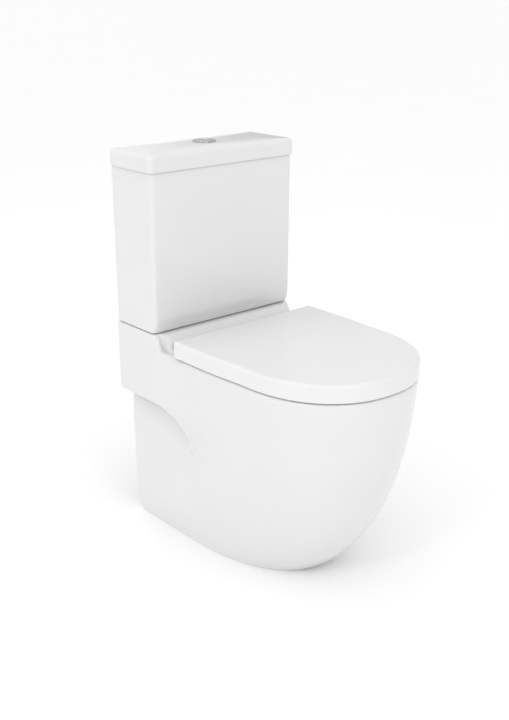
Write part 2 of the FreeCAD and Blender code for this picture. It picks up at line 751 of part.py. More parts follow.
def make_flush_valve():
    floor = "tank_base + tank_floor"
    base = turned("flush_valve_base_body", [
        ("24.5", "-49.5"), ("valve_thread", "-49.5"), ("valve_thread", "3"), ("valve_flange", "3"),
        ("valve_flange", "8.5"),
        ("30", "8.5"), ("30", "12.5"), ("27.5", "12.5"), ("24.5", "8.5")], 0, FITTINGS, floor)
    node("flush_valve_base", base)
    node("flush_valve_washer", tube("flush_valve_washer", "valve_flange - 2", "valve_thread + 0.1", "3",
                                    0, FITTINGS, floor))
    nut = prism("backnut_blank", 8, "38", "12", 0, FITTINGS, "tank_base - 12")
    node("flush_valve_backnut", cut("flush_valve_backnut", nut, cylinder(
        "backnut_bore", "valve_thread + 0.1", "12", 0, FITTINGS, "tank_base - 12")))
    make_cage()
    tube_wall = cylinder("tube_wall", "overflow_radius", "overflow_height", 0, FITTINGS, "tank_base + 29.5")
    disc = cylinder("tube_disc", "35", "4", 0, FITTINGS, "tank_base + 25.5")
    arm = box("tube_arm", "34", "8", "5", "-link_offset + 13", FITTINGS, "rocker_level - 62")
    rod = cylinder("tube_rod", "link_radius", "62", "-link_offset", FITTINGS, "rocker_level - 57")
    head = cylinder("tube_rod_head", "link_head", "3", "-link_offset", FITTINGS, "rocker_level + 4.5")
    bore = cylinder("tube_bore", "overflow_bore", "300", 0, FITTINGS, "tank_base + 20")
    node("overflow_tube", cut("overflow_tube", fuse("tube_solids", tube_wall, disc, arm, rod, head), bore))
    node("flush_seal", tube("flush_seal", "34", "24", "2.7", 0, FITTINGS, "tank_base + 22.8"))
    link = cylinder("half_link_rod", "link_radius", "107", "link_offset", FITTINGS, "rocker_level - 102")
    link_head = cylinder("half_link_head", "link_head", "3", "link_offset", FITTINGS, "rocker_level + 4.5")
    buoy = cylinder("half_link_float", "11", "40", "link_offset", FITTINGS, "rocker_level - 142")
    node("half_flush_link", fuse("half_flush_link", link, link_head, buoy))
    for kind, sign in (("full", "-"), ("half", "")):
        middle_x = f"{sign}27"
        beam = box(f"{kind}_beam", "46", "12", "6", middle_x, FITTINGS, "rocker_level - 3")
        fork = box(f"{kind}_fork", "12", "5.6", "8", f"{sign}45", FITTINGS, "rocker_level - 4")
        bore = cylinder(f"{kind}_rocker_bore", "rocker_pin_radius + running_gap", "14", f"{sign}rocker_pivot",
                        f"{FITTINGS} - 7", "rocker_level", "y")
        node(f"{kind}_flush_rocker", cut(f"{kind}_flush_rocker", beam, fork, bore))
    node("rocker_pins", pair("rocker_pins", cylinder(
        "rocker_pin", "rocker_pin_radius", "20", "rocker_pivot", f"{FITTINGS} - 10", "rocker_level", "y")))


def make_cage():
    """Fixed frame of the flush valve: four posts, a guide plate and the rocker's ears."""
    low = "tank_base + tank_floor + 8.5"
    bar = box("cage_plate", "108", "66", "6", 0, FITTINGS, "rocker_level - 42")
    pieces = [bar]
    for x in ("cage_post_offset", "-cage_post_offset"):
        for side in ("cage_post_offset", "-cage_post_offset"):
            pieces.append(cylinder(f"cage_post_{len(pieces)}", "cage_post_radius",
                                   f"rocker_level - 40 - ({low})", x, f"{FITTINGS} + {side}", low))
    for x in ("rocker_pivot", "-rocker_pivot"):
        for side in ("8.3", "-8.3"):
            pieces.append(box(f"cage_ear_{len(pieces)}", "8", "3.4", "46", x, f"{FITTINGS} + {side}",
                              "rocker_level - 40"))
    ways = [cylinder("tube_way", "overflow_radius + 1", "20", 0, FITTINGS, "rocker_level - 50")]
    for x, sign in (("right", ""), ("left", "-")):
        ways.append(cylinder(f"link_way_{x}", "link_radius + 1.2", "20", f"{sign}link_offset", FITTINGS,
                             "rocker_level - 50"))
        ways.append(cylinder(f"rocker_pin_way_{x}", "rocker_pin_radius", "20", f"{sign}rocker_pivot",
                             f"{FITTINGS} - 10", "rocker_level", "y"))
    node("flush_valve_cage", cut("flush_valve_cage", fuse("cage_solids", *pieces), *ways))


# ---------------------------------------------------------------- fill valve

def make_fill_valve():
    floor = "tank_base + tank_floor"
    height = "lever_level - 15 - tank_base - tank_floor"
    column = turned("fill_valve_column_body", [
        ("column_bore", "-59.5"), ("inlet_tail_radius", "-59.5"), ("inlet_tail_radius", "-20.3"),
        ("inlet_root_radius", "-20.3"), ("inlet_root_radius", "3"), ("inlet_flange", "3"),
        ("inlet_flange", "6.5"), ("column_radius", "6.5"), ("column_radius", height),
        ("column_bore", height)], "inlet_offset", FITTINGS, floor)
    node("fill_valve_column", column)
    node("fill_valve_washer", tube("fill_valve_washer", "inlet_flange - 0.4", "inlet_root_radius + 0.1", "3",
                                   "inlet_offset", FITTINGS, floor))
    nut = prism("fill_nut_blank", 6, "17", "10", "inlet_offset", FITTINGS, "tank_base - 10")
    node("fill_valve_nut", cut("fill_valve_nut", nut, cylinder(
        "fill_nut_bore", "inlet_root_radius + 0.1", "10", "inlet_offset", FITTINGS, "tank_base - 10")))
    cap = cylinder("head_cap", "16", "8", "inlet_offset", FITTINGS, "lever_level - 15")
    block = box("head_block", "24", "18.8", "8", "inlet_offset + 12", FITTINGS, "lever_level - 15")
    ears = [box(f"head_ear_{name}", "8", "3", "19", "lever_pivot", f"{FITTINGS} {side}", "lever_level - 15")
            for name, side in (("back", "+ 7.9"), ("front", "- 7.9"))]
    pin_way = cylinder("lever_pin_way", "lever_pin_radius", "20", "lever_pivot", f"{FITTINGS} - 10",
                       "lever_level", "y")
    node("fill_valve_head", cut("fill_valve_head", fuse("head_solids", cap, block, *ears), pin_way))
    node("float_lever_pin", cylinder("float_lever_pin", "lever_pin_radius", "18.8", "lever_pivot",
                                     f"{FITTINGS} - 9.4", "lever_level", "y"))
    cup = turned("float_cup_section", [
        ("column_radius + 0.6", "0"), ("float_radius", "0"), ("float_radius", "float_height"),
        ("float_radius - 3", "float_height"), ("float_radius - 3", "3"), ("column_radius + 3.6", "3"),
        ("column_radius + 3.6", "float_height"), ("column_radius + 0.6", "float_height")],
        "inlet_offset", FITTINGS, "lever_level - 145")
    stem = cylinder("float_stem", "link_radius", "161", "float_link", FITTINGS, "lever_level - 144")
    collar = cylinder("float_collar", "link_head", "2.5", "float_link", FITTINGS, "lever_level - 7.5")
    node("float_cup", fuse("float_cup", cup, stem, collar))
    arm = box("lever_arm", "56", "11.6", "6", "lever_pivot - 23", FITTINGS, "lever_level - 3")
    slot = box("lever_slot", "14", "5.6", "8", "float_link", FITTINGS, "lever_level - 4")
    bore = cylinder("lever_bore", "lever_pin_radius + running_gap", "14", "lever_pivot", f"{FITTINGS} - 7",
                    "lever_level", "y")
    node("float_lever", cut("float_lever", arm, slot, bore))


# ---------------------------------------------------------------- seat

def seat_section(name, level, inset, rear):
    """Outline of the seat at one level, moved inwards by an inset."""
    return feature(name, outline_wire(level, rear, size("seat_half") - inset, size("seat_side_half") - inset,
                                      size("seat_straight"), size("seat_reach") - inset))


def make_seat_lid():
    outside = loft("lid_outside", [
        seat_section(f"lid_outside_{i}", level, inset, size("seat_rear"))
        for i, (level, inset) in enumerate((
            (size("lid_base"), 0.0), (430.0, 0.5), (size("lid_top"), size("lid_draft"))))])
    top = size("lid_top")
    smooth_top = rounded("lid_soft", outside, size("lid_round"), lambda e: abs(middle(e).z - top) < 0.05)
    inside = loft("lid_inside", [
        seat_section(f"lid_inside_{i}", level, inset, size("seat_rear") + size("lid_wall"))
        for i, (level, inset) in enumerate((
            (size("lid_base") - 2, size("lid_wall")), (430.0, size("lid_wall") + 0.5),
            (size("lid_top") - size("lid_wall"), size("lid_wall") + size("lid_draft"))))])
    notch = box("hinge_notch", "55", "12", "40", "89.5", "wall - seat_rear - 2", "lid_top - lid_wall - 40")
    axis_y = "wall - hinge_depth"
    eye = cylinder("lid_eye", "knuckle_radius", "11", "103", axis_y, "hinge_level", "x")
    web = box("lid_web", "11", "2 * knuckle_radius", "lid_top - lid_wall / 2 - hinge_level", "108.5",
              axis_y, "hinge_level")
    bore = cylinder("lid_bore", "pin_radius + running_gap", "13", "102", axis_y, "hinge_level", "x")
    shell = cut("lid_shell", smooth_top, inside, notch, mirrored("hinge_notch_other", notch))
    solids = fuse("lid_solids", shell, eye, web, mirrored("lid_eye_other", eye),
                  mirrored("lid_web_other", web))
    node("seat_lid", cut("seat_lid", solids, bore, mirrored("lid_bore_other", bore)))
    pads = [cylinder(f"lid_pad_{i}", "pad_radius", "lid_top - lid_wall - ring_top - pad_gap", x,
                     f"wall - {depth}", "ring_top + pad_gap")
            for i, (x, depth) in enumerate((("138", "285"), ("114", "482")))]
    right = doc.addObject("Part::Compound", "right_lid_pads")
    right.Links = pads
    node("lid_buffers", pair("lid_buffers", right))


def make_seat_ring():
    top = size("ring_top")
    base = size("ring_base")
    wire = seat_section("ring_outline", base, size("ring_gap"), size("ring_rear"))
    plate = doc.addObject("Part::Extrusion", "ring_plate")
    plate.Base = wire
    plate.DirMode = "Custom"
    plate.Dir = Vector(0, 0, 1)
    plate.LengthFwd = top - base
    plate.Solid = True
    opening = loft("ring_opening", [
        ellipse("ring_opening_low", base - 1, 392, 126, 106),
        ellipse("ring_opening_high", top + 1, 392, 132, 112)])
    ring = cut("ring_blank", plate, opening)
    soft = rounded("ring_soft", ring, size("ring_round"), lambda e: abs(middle(e).z - top) < 0.05)
    eye = cylinder("ring_eye", "knuckle_radius", "10", "92", "wall - hinge_depth", "hinge_level", "x")
    web = box("ring_web", "10", "36", "7", "97", "wall - hinge_depth - 18", "hinge_level - knuckle_radius")
    bore = cylinder("ring_bore", "pin_radius + running_gap", "12", "91", "wall - hinge_depth",
                    "hinge_level", "x")
    solids = fuse("ring_solids", soft, eye, web, mirrored("ring_eye_other", eye),
                  mirrored("ring_web_other", web))
    node("seat_ring", cut("seat_ring", solids, bore, mirrored("ring_bore_other", bore)))
    pads = [cylinder(f"ring_pad_{i}", "pad_radius", "ring_base - rim_top - pad_gap", x,
                     f"wall - {depth}", "rim_top + pad_gap")
            for i, (x, depth) in enumerate((("136", "310"), ("122", "482")))]
    right = doc.addObject("Part::Compound", "right_ring_pads")
    right.Links = pads
    node("ring_buffers", pair("ring_buffers", right))


def make_hinges():
    axis_y = "wall - hinge_depth"
    stud_y = "wall - hinge_depth - stud_back"
    barrel = cylinder("post_barrel", "knuckle_radius", "26", "hinge_offset - 13", axis_y, "hinge_level", "x")
    column = box("post_column", "26", "11.6", "hinge_level - rim_top - 3", "hinge_offset",
                 f"{axis_y} - 0.8", "rim_top + 3")
    foot = box("post_foot", "26", "23.4", "8", "hinge_offset", f"{axis_y} - 5.1", "rim_top + 3")
    way = cylinder("post_pin_way", "pin_radius", "26", "hinge_offset - 13", axis_y, "hinge_level", "x")
    node("hinge_posts", pair("hinge_posts", cut(
        "hinge_post", fuse("post_solids", barrel, column, foot), way)))
    node("hinge_pins", pair("hinge_pins", cylinder(
        "hinge_pin", "pin_radius", "50", "hinge_offset - 12.5", axis_y, "hinge_level", "x")))
    node("hinge_pads", pair("hinge_pads", tube(
        "hinge_pad", "11", "stud_radius + 0.2", "3", "hinge_offset", stud_y, "rim_top")))
    node("hinge_studs", pair("hinge_studs", cylinder(
        "hinge_stud", "stud_radius", "40", "hinge_offset", stud_y, "rim_top - 37")))
    flange = cylinder("bush_flange", "13", "6", "hinge_offset", stud_y, "rim_top - 22")
    plug = cone("bush_plug", "7.6", "6.6", "8", "hinge_offset", stud_y, "rim_top - 16")
    bore = cylinder("bush_bore", "stud_radius + 0.1", "20", "hinge_offset", stud_y, "rim_top - 24")
    node("hinge_bushes", pair("hinge_bushes", cut("hinge_bush", fuse("bush_solids", flange, plug), bore)))
    blank = prism("hinge_nut_blank", 6, "9.5", "9", "hinge_offset", stud_y, "rim_top - 31")
    node("hinge_nuts", pair("hinge_nuts", cut("hinge_nut", blank, cylinder(
        "hinge_nut_bore", "stud_radius + 0.1", "9", "hinge_offset", stud_y, "rim_top - 31"))))


# ---------------------------------------------------------------- floor fixing

def make_brackets():
    deep = "wall - bracket_depth"
    plate = box("bracket_plate", "34", "bracket_width", "bracket_thickness", "bracket_offset", deep, "0")
    upright = box("bracket_upright", "bracket_thickness", "bracket_width", "46", "bracket_offset + 14.5",
                  deep, "0")
    floor_hole = cylinder("bracket_floor_hole", "bracket_hole", "bracket_thickness", "bracket_offset - 2",
                          deep, "0")
    side_hole = cylinder("bracket_side_hole", "screw_radius + 0.2", "8", "bracket_offset + 10", deep,
                         "screw_level", "x")
    node("floor_brackets", pair("floor_brackets", cut(
        "floor_bracket", fuse("bracket_solids", plate, upright), floor_hole, side_hole)))
    shank = cylinder("screw_shank", "screw_radius", "23", "bracket_offset + 8", deep, "screw_level", "x")
    head = cylinder("screw_head", "2 * screw_radius", "4", "bracket_offset + 8", deep, "screw_level", "x")
    node("bracket_screws", pair("bracket_screws", fuse("bracket_screw", shank, head)))


make_pan()
make_cistern()
make_cistern_lid()
make_buttons()
make_coupling()
make_flush_valve()
make_fill_valve()
make_seat_ring()
make_seat_lid()
make_hinges()
make_brackets()


# ---------------------------------------------------------------- checks and files

def finish():
    """Recomputes, checks every object and writes one STEP file for each sub-part."""
    doc.recompute()
    for obj in doc.Objects:
        bad = [state for state in obj.State if state in ("Invalid", "Error")]
        if bad:
            raise RuntimeError(f"{obj.Name}: {bad}")
    for obj in NODES:
        if obj.Shape.isNull() or not obj.Shape.isValid():
            raise RuntimeError(f"{obj.Label}: shape is null or not valid")
    os.makedirs("parts", exist_ok=True)
    for obj in NODES:
        obj.Shape.exportStep(f"parts/{obj.Label}.step")
        box_ = obj.Shape.BoundBox
        print(f"{obj.Label}: {len(obj.Shape.Solids)} solid(s), {obj.Shape.Volume / 1000:.1f} cm3, "
              f"z {box_.ZMin:.1f} to {box_.ZMax:.1f}")


finish()
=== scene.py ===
import json
import math

import bmesh
import bpy
import numpy as np
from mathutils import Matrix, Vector


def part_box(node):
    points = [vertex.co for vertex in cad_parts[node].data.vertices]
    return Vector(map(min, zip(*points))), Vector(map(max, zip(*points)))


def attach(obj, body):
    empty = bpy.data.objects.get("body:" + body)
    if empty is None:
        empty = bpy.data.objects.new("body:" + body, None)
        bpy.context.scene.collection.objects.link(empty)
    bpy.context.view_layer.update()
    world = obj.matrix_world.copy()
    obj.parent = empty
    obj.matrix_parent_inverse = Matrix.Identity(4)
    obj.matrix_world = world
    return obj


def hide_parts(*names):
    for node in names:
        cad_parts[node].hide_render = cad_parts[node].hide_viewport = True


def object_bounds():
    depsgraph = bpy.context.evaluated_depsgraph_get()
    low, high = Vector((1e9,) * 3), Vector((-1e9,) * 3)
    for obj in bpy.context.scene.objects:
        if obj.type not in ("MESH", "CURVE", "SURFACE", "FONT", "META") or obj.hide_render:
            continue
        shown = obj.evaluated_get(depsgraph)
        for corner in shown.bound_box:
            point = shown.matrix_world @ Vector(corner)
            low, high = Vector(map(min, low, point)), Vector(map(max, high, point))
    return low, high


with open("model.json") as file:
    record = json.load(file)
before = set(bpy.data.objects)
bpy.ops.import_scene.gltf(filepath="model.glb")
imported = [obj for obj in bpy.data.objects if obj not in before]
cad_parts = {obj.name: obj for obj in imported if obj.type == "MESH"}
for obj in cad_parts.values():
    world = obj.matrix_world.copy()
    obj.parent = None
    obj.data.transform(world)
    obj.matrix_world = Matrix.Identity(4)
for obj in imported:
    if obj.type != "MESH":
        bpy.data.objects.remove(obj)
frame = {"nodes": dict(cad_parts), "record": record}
cad_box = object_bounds()
NODES = frame["nodes"]
MM = 0.001

# Distances from the wall run towards -Y; the wall is the plane of the pan's and cistern's backs.
WALL = cad_box[1].y


# ---------------------------------------------------------------- materials

def map_range(tree, value, low, high, to_low, to_high):
    """Node that takes low to to_low and high to to_high, and holds still beyond them."""
    node = tree.nodes.new("ShaderNodeMapRange")
    limits = {"From Min": low, "From Max": high, "To Min": to_low, "To Max": to_high}
    for socket, number in limits.items():
        node.inputs[socket].default_value = number
    tree.links.new(value, node.inputs["Value"])
    return node.outputs["Result"]


class Look:
    """Node tree of one material, with short calls for the nodes it needs."""

    def __init__(self, name, **sockets):
        self.material = bpy.data.materials.new(name)
        self.material.use_nodes = True
        self.tree = self.material.node_tree
        self.shader = self.tree.nodes["Principled BSDF"]
        for socket, value in sockets.items():
            self.shader.inputs[socket.replace("_", " ")].default_value = value
        self.place = self.tree.nodes.new("ShaderNodeTexCoord").outputs["Object"]

    def noise(self, scale, detail=2.0, stretch=(1, 1, 1)):
        mapping = self.tree.nodes.new("ShaderNodeMapping")
        mapping.inputs["Scale"].default_value = stretch
        self.tree.links.new(self.place, mapping.inputs["Vector"])
        node = self.tree.nodes.new("ShaderNodeTexNoise")
        node.inputs["Scale"].default_value = scale
        node.inputs["Detail"].default_value = detail
        self.tree.links.new(mapping.outputs["Vector"], node.inputs["Vector"])
        return node.outputs["Fac"]

    def spots(self, scale, low, high):
        """Scattered specks: 1 inside a speck, 0 between them."""
        node = self.tree.nodes.new("ShaderNodeTexVoronoi")
        node.inputs["Scale"].default_value = scale
        self.tree.links.new(self.place, node.inputs["Vector"])
        return self.range(node.outputs["Distance"], low, high, 1.0, 0.0)

    def range(self, value, low, high, to_low, to_high):
        return map_range(self.tree, value, low, high, to_low, to_high)

    def blend(self, share, first, second):
        node = self.tree.nodes.new("ShaderNodeMix")
        node.data_type = "RGBA"
        self.tree.links.new(share, node.inputs["Factor"])
        for socket, value in (("A", first), ("B", second)):
            target = [i for i in node.inputs if i.name == socket and i.type == "RGBA"][0]
            if isinstance(value, bpy.types.NodeSocket):
                self.tree.links.new(value, target)
            else:
                target.default_value = (*value, 1.0)
        return [o for o in node.outputs if o.type == "RGBA"][0]

    def painted_crevice_shade(self, reach, tone, dark):
        """The tone with painted shade: darkened towards a dark colour in the piece's own inner corners
        and gaps, where shade falls.
        """
        # Painted shade: the ambient occlusion factor blends the colour towards the dark tone in
        # occluded places.
        node = self.tree.nodes.new("ShaderNodeAmbientOcclusion")
        node.samples = 8
        node.only_local = True
        node.inputs["Distance"].default_value = reach
        return self.blend(self.range(node.outputs["AO"], 0.25, 0.95, 0.0, 1.0), dark, tone)

    def colour(self, value):
        self.tree.links.new(value, self.shader.inputs["Base Color"])
        return self

    def rough(self, value):
        self.tree.links.new(value, self.shader.inputs["Roughness"])
        return self

    def bump(self, value, depth, strength=1.0):
        node = self.tree.nodes.new("ShaderNodeBump")
        node.inputs["Distance"].default_value = depth
        node.inputs["Strength"].default_value = strength
        self.tree.links.new(value, node.inputs["Height"])
        self.tree.links.new(node.outputs["Normal"], self.shader.inputs["Normal"])
        return self


def china():
    """White glazed ceramic: wavy glossy glaze over a faintly mottled body, with painted shade in its
    corners, gaps and recesses.
    """
    look = Look("china", Coat_Weight=0.35, Coat_Roughness=0.03, IOR=1.5)
    tone = look.blend(look.noise(9, 3), (0.68, 0.68, 0.678), (0.71, 0.71, 0.707))
    tone = look.blend(look.spots(160, 0.03, 0.06), tone, (0.66, 0.655, 0.64))
    # Painted shade: ambient occlusion over 6 cm darkens the china towards grey in corners, gaps and
    # under the deck's overhang.
    look.colour(look.painted_crevice_shade(0.06, tone, (0.25, 0.25, 0.25)))
    look.rough(look.range(look.noise(22, 3), 0.3, 0.7, 0.09, 0.15))
    return look.bump(look.noise(38, 2), 0.25 * MM, 0.35).material


def seat_plastic():
    """White gloss thermoset seat, a shade warmer and flatter than the china."""
    look = Look("seat_plastic", Coat_Weight=0.2, Coat_Roughness=0.05, IOR=1.49)
    look.colour(look.blend(look.noise(14, 2), (0.71, 0.71, 0.706), (0.73, 0.73, 0.726)))
    look.rough(look.range(look.noise(60, 3), 0.3, 0.7, 0.05, 0.09))
    return look.bump(look.noise(240, 2), 0.02 * MM, 0.2).material


def chrome():
    """Plated metal with fine wipe marks, and painted shade in its tight corners and gaps."""
    look = Look("chrome", Metallic=1.0)
    tone = look.blend(look.noise(90, 3), (0.4, 0.41, 0.42), (0.5, 0.51, 0.52))
    # Painted shade: ambient occlusion over 6 mm darkens the chrome nearly to black in its tight corners
    # and gaps.
    look.colour(look.painted_crevice_shade(0.006, tone, (0.02, 0.02, 0.02)))
    look.rough(look.range(look.noise(700, 4, (1, 0.1, 1)), 0.3, 0.7, 0.04, 0.12))
    return look.bump(look.noise(500, 2), 0.02 * MM, 0.2).material


def rubber(name, dark, light):
    """Matt moulded rubber with a dusty bloom."""
    look = Look(name, Specular_IOR_Level=0.3)
    look.colour(look.blend(look.noise(140, 4), dark, light))
    look.rough(look.range(look.noise(320, 3), 0.3, 0.7, 0.55, 0.8))
    return look.bump(look.noise(900, 3), 0.05 * MM, 0.6).material


def steel():
    """Zinc-plated steel, slightly clouded."""
    look = Look("steel", Metallic=1.0)
    look.colour(look.blend(look.noise(120, 4), (0.48, 0.49, 0.5), (0.62, 0.62, 0.6)))
    look.rough(look.range(look.noise(400, 4), 0.3, 0.7, 0.22, 0.42))
    return look.bump(look.noise(1500, 2), 0.03 * MM, 0.4).material


def brass():
    """Turned brass, faintly tarnished along the machining marks."""
    look = Look("brass", Metallic=1.0)
    look.colour(look.blend(look.noise(160, 4, (1, 1, 6)), (0.5, 0.35, 0.14), (0.68, 0.5, 0.24)))
    look.rough(look.range(look.noise(500, 3, (0.2, 0.2, 6)), 0.3, 0.7, 0.2, 0.38))
    return look.bump(look.noise(700, 2, (0.1, 0.1, 6)), 0.03 * MM, 0.5).material


def moulded(name, first, second):
    """Semi-matt moulded plastic with flow marks and a fine spark-eroded grain."""
    look = Look(name, IOR=1.49)
    look.colour(look.blend(look.noise(35, 3, (1, 1, 3)), first, second))
    look.rough(look.range(look.noise(260, 3), 0.3, 0.7, 0.3, 0.45))
    return look.bump(look.noise(1600, 2), 0.03 * MM, 0.5).material


LOOKS = {
    "china": china(),
    "seat_plastic": seat_plastic(),
    "chrome": chrome(),
    "rubber": rubber("rubber", (0.012, 0.012, 0.012), (0.03, 0.03, 0.03)),
    "grey_rubber": rubber("grey_rubber", (0.16, 0.16, 0.165), (0.24, 0.24, 0.24)),
    "steel": steel(),
    "brass": brass(),
    "valve_plastic": moulded("valve_plastic", (0.72, 0.72, 0.7), (0.79, 0.79, 0.77)),
    "blue_plastic": moulded("blue_plastic", (0.03, 0.13, 0.4), (0.05, 0.18, 0.5)),
    "grey_plastic": moulded("grey_plastic", (0.2, 0.21, 0.22), (0.27, 0.28, 0.29)),
}

for part in frame["record"]["subparts"]:
    mesh = NODES[part["node"]].data
    mesh.materials.clear()
    mesh.materials.append(LOOKS[part["material_slot"]])


# ---------------------------------------------------------------- meshes

class Skin:
    """Quads gathered from patches; points are x, distance from the wall and level, in millimetres."""

    def __init__(self):
        self.points = []
        self.faces = []

    def patch(self, rows, loop=False, ring=False):
        """Joins rows of points; loop closes each row, ring joins the last row to the first."""
        rows = np.asarray(rows, float)
        count, width, _ = rows.shape
        start = len(self.points)
        self.points.extend(rows.reshape(-1, 3).tolist())
        for row in range(count if ring else count - 1):
            low = start + row * width
            high = start + (row + 1) % count * width
            for column in range(width if loop else width - 1):
                after = (column + 1) % width
                self.faces.append((low + column, low + after, high + after, high + column))

    def cap(self, row):
        """Closes a loop of points with a fan round its middle."""
        row = np.asarray(row, float)
        start = len(self.points)
        self.points.extend(row.tolist())
        self.points.append(row.mean(axis=0).tolist())
        for column in range(len(row)):
            self.faces.append((start + column, start + (column + 1) % len(row), start + len(row)))

    def tube(self, rows):
        """Closed solid from loops of points, capped at both ends."""
        self.patch(rows, loop=True)
        self.cap(rows[0])
        self.cap(rows[-1])

    def lathe(self, profile, centre, axis="z", steps=64):
        """Ring turned about an axis through a centre; the profile gives radii and places along it."""
        angles = np.linspace(0, 2 * math.pi, steps, endpoint=False)
        rows = []
        for radius, along in profile:
            one, other = radius * np.cos(angles), radius * np.sin(angles)
            flat = np.full(steps, float(along))
            columns = {"x": (flat, one, other), "y": (one, flat, other), "z": (one, other, flat)}
            rows.append(np.stack(columns[axis], axis=1) + np.array(centre, float))
        self.patch(rows, loop=True, ring=True)

    def block(self, low, high, soften=1.0):
        """Box between two corners, with its upright edges cut back."""
        half, middle = (high[0] - low[0]) / 2, (high[0] + low[0]) / 2
        loops = []
        for level in (low[2], high[2]):
            loop = slab_loop(half, low[1], high[1], level, soften, soften, sides=0, steps=3)
            loops.append(loop + (middle, 0, 0))
        self.tube(loops)


WELD = 1e-5
SHARP = math.radians(38)    # edges that turn by more than this stay sharp


def piece(name, skin, slot, body, nodes):
    """Visible piece of one sub-part: stands for its CAD nodes, rides on their body, wears a finish."""
    place = np.array(skin.points) * (MM, -MM, MM) + (0, WALL, 0)
    mesh = bpy.data.meshes.new(name)
    mesh.from_pydata(place.tolist(), [], skin.faces)
    work = bmesh.new()
    work.from_mesh(mesh)
    bmesh.ops.remove_doubles(work, verts=work.verts, dist=WELD)
    bmesh.ops.dissolve_degenerate(work, edges=work.edges, dist=WELD)
    bmesh.ops.recalc_face_normals(work, faces=work.faces)
    work.to_mesh(mesh)
    work.free()
    mesh.shade_smooth()
    mesh.set_sharp_from_angle(angle=SHARP)
    mesh.materials.append(LOOKS[slot])
    obj = bpy.data.objects.new(name, mesh)
    bpy.context.scene.collection.objects.link(obj)
    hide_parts(*nodes)
    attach(obj, body)


def smooth(value, low, high):
    """Eased step from 0 to 1 between two values."""
    share = np.clip((np.asarray(value, float) - low) / (high - low), 0.0, 1.0)
    return share * share * (3 - 2 * share)


def arc(count=6):
    """Angles of a quarter turn."""
    return np.linspace(0, math.pi / 2, count)


def rolled(radius, count=6):
    """Quarter-round edge, as pairs: how far below its end and how far pulled in."""
    return [(radius * (1 - math.sin(a)), radius * (1 - math.cos(a))) for a in arc(count)]


def between(first, last, count):
    """Points on a straight side, without its ends."""
    share = np.linspace(0, 1, count + 2)[1:-1, None]
    return first + (last - first) * share


def at_level(flat, level):
    """A flat outline lifted to a level."""
    return np.column_stack([flat, np.full(len(flat), float(level))])


def nose_curve(half, straight, reach, angles):
    """Super-elliptic nose from the end of a straight side to the tip."""
    curve = np.column_stack([half * np.cos(angles) ** (2 / NOSE_POWER),
                             straight + (reach - straight) * np.sin(angles) ** (2 / NOSE_POWER)])
    curve[-1, 0] = 0.0
    return curve


def slab_loop(half, back, front, level, corner, rear_corner, sides=12, steps=9):
    """Rounded rectangle at one level, from the rear corner on +X round the front."""
    rear, ahead = back + rear_corner, front - corner
    corners = [(half - rear_corner, rear, rear_corner, -90), (half - corner, ahead, corner, 0),
               (corner - half, ahead, corner, 90), (rear_corner - half, rear, rear_corner, 180)]
    line = []
    for x, depth, radius, start in corners:
        turn = np.radians(np.linspace(start, start + 90, steps))
        bend = np.stack([x + radius * np.cos(turn), depth + radius * np.sin(turn)], axis=1)
        if line:
            line.append(between(line[-1][-1], bend[0], sides))
        line.append(bend)
    line.append(between(line[-1][-1], line[0][0], sides))
    return at_level(np.concatenate(line), level)


def box_of(node):
    """Lowest and highest corner of a CAD node: x, distance from the wall and level, in millimetres."""
    low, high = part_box(node)
    return (np.array([low.x, WALL - high.y, low.z]) / MM,
            np.array([high.x, WALL - low.y, high.z]) / MM)


def middle_depth(node):
    """Distance from the wall to the middle of a CAD node."""
    low, high = box_of(node)
    return (low[1] + high[1]) / 2


def both_sides(inner, outer):
    """The x range of something on +X, then of its mirror image on -X."""
    return (inner, outer), (-outer, -inner)


# ---------------------------------------------------------------- pan

PAN_HALF, PAN_REACH, DECK_TOP = box_of("pan")[1]
CHINA, SLAB = 12.0, 13.0            # thickness of the skirt and of the deck
STEP_DOWN = 29.0
RIM_TOP = DECK_TOP - STEP_DOWN

# Outline of the body: foot, rim, and the bulge between them
FOOT_HALF, FOOT_STRAIGHT, FOOT_REACH = 132.5, 173.0, 416.0
RIM_HALF, RIM_STRAIGHT = 172.2, 392.0
SIDE_BULGE, REACH_BULGE = (1.76, 0.8), (2.45, 0.855)
NOSE_POWER = 2.24
PEDESTAL_HALF, PEDESTAL_BLEND = 146.0, 90.0
DECK_FLARE = (190, 305)             # levels between which the back widens to the deck
FLANK_START = 0.68                  # share of the straight run where the side starts to swell

# Steps across the top, as distances from the wall
DECK_FRONT, LEDGE_FRONT, LEDGE_FOOT, TROUGH_FRONT = 134.0, 151.0, 158.0, 175.0
LEDGE_TOP, LEDGE_FOOT_TOP = DECK_TOP - 12, RIM_TOP + 4
STEP_EASE = 2.5
STEP_INBOARD = 7                    # the steps run out this far from the pan's side
SIDE_DROP = (120, 142)
DECK_END = 232.0
EDGE_TIGHT, EDGE_FULL, EDGE_RIM, EDGE_INSIDE = 2.5, 12.0, 6.0, 3.0
EDGE_WIDENS, EDGE_NARROWS = (112, 128), (195, 232)

# Recess under the deck: its crease runs level up to the bend, then straight down
DECK_UNDER = DECK_TOP - 155.0
CREASE_BEND, CREASE_EASE, CREASE_SLOPE = 155.2, 12.0, 1.61
CREASE_ROLL, CREASE_ROLL_LOW, CREASE_SOFTENS = 20.0, 44.0, (140, 200)
CREASE_GONE, CREASE_FULL = 185.0, 250.0

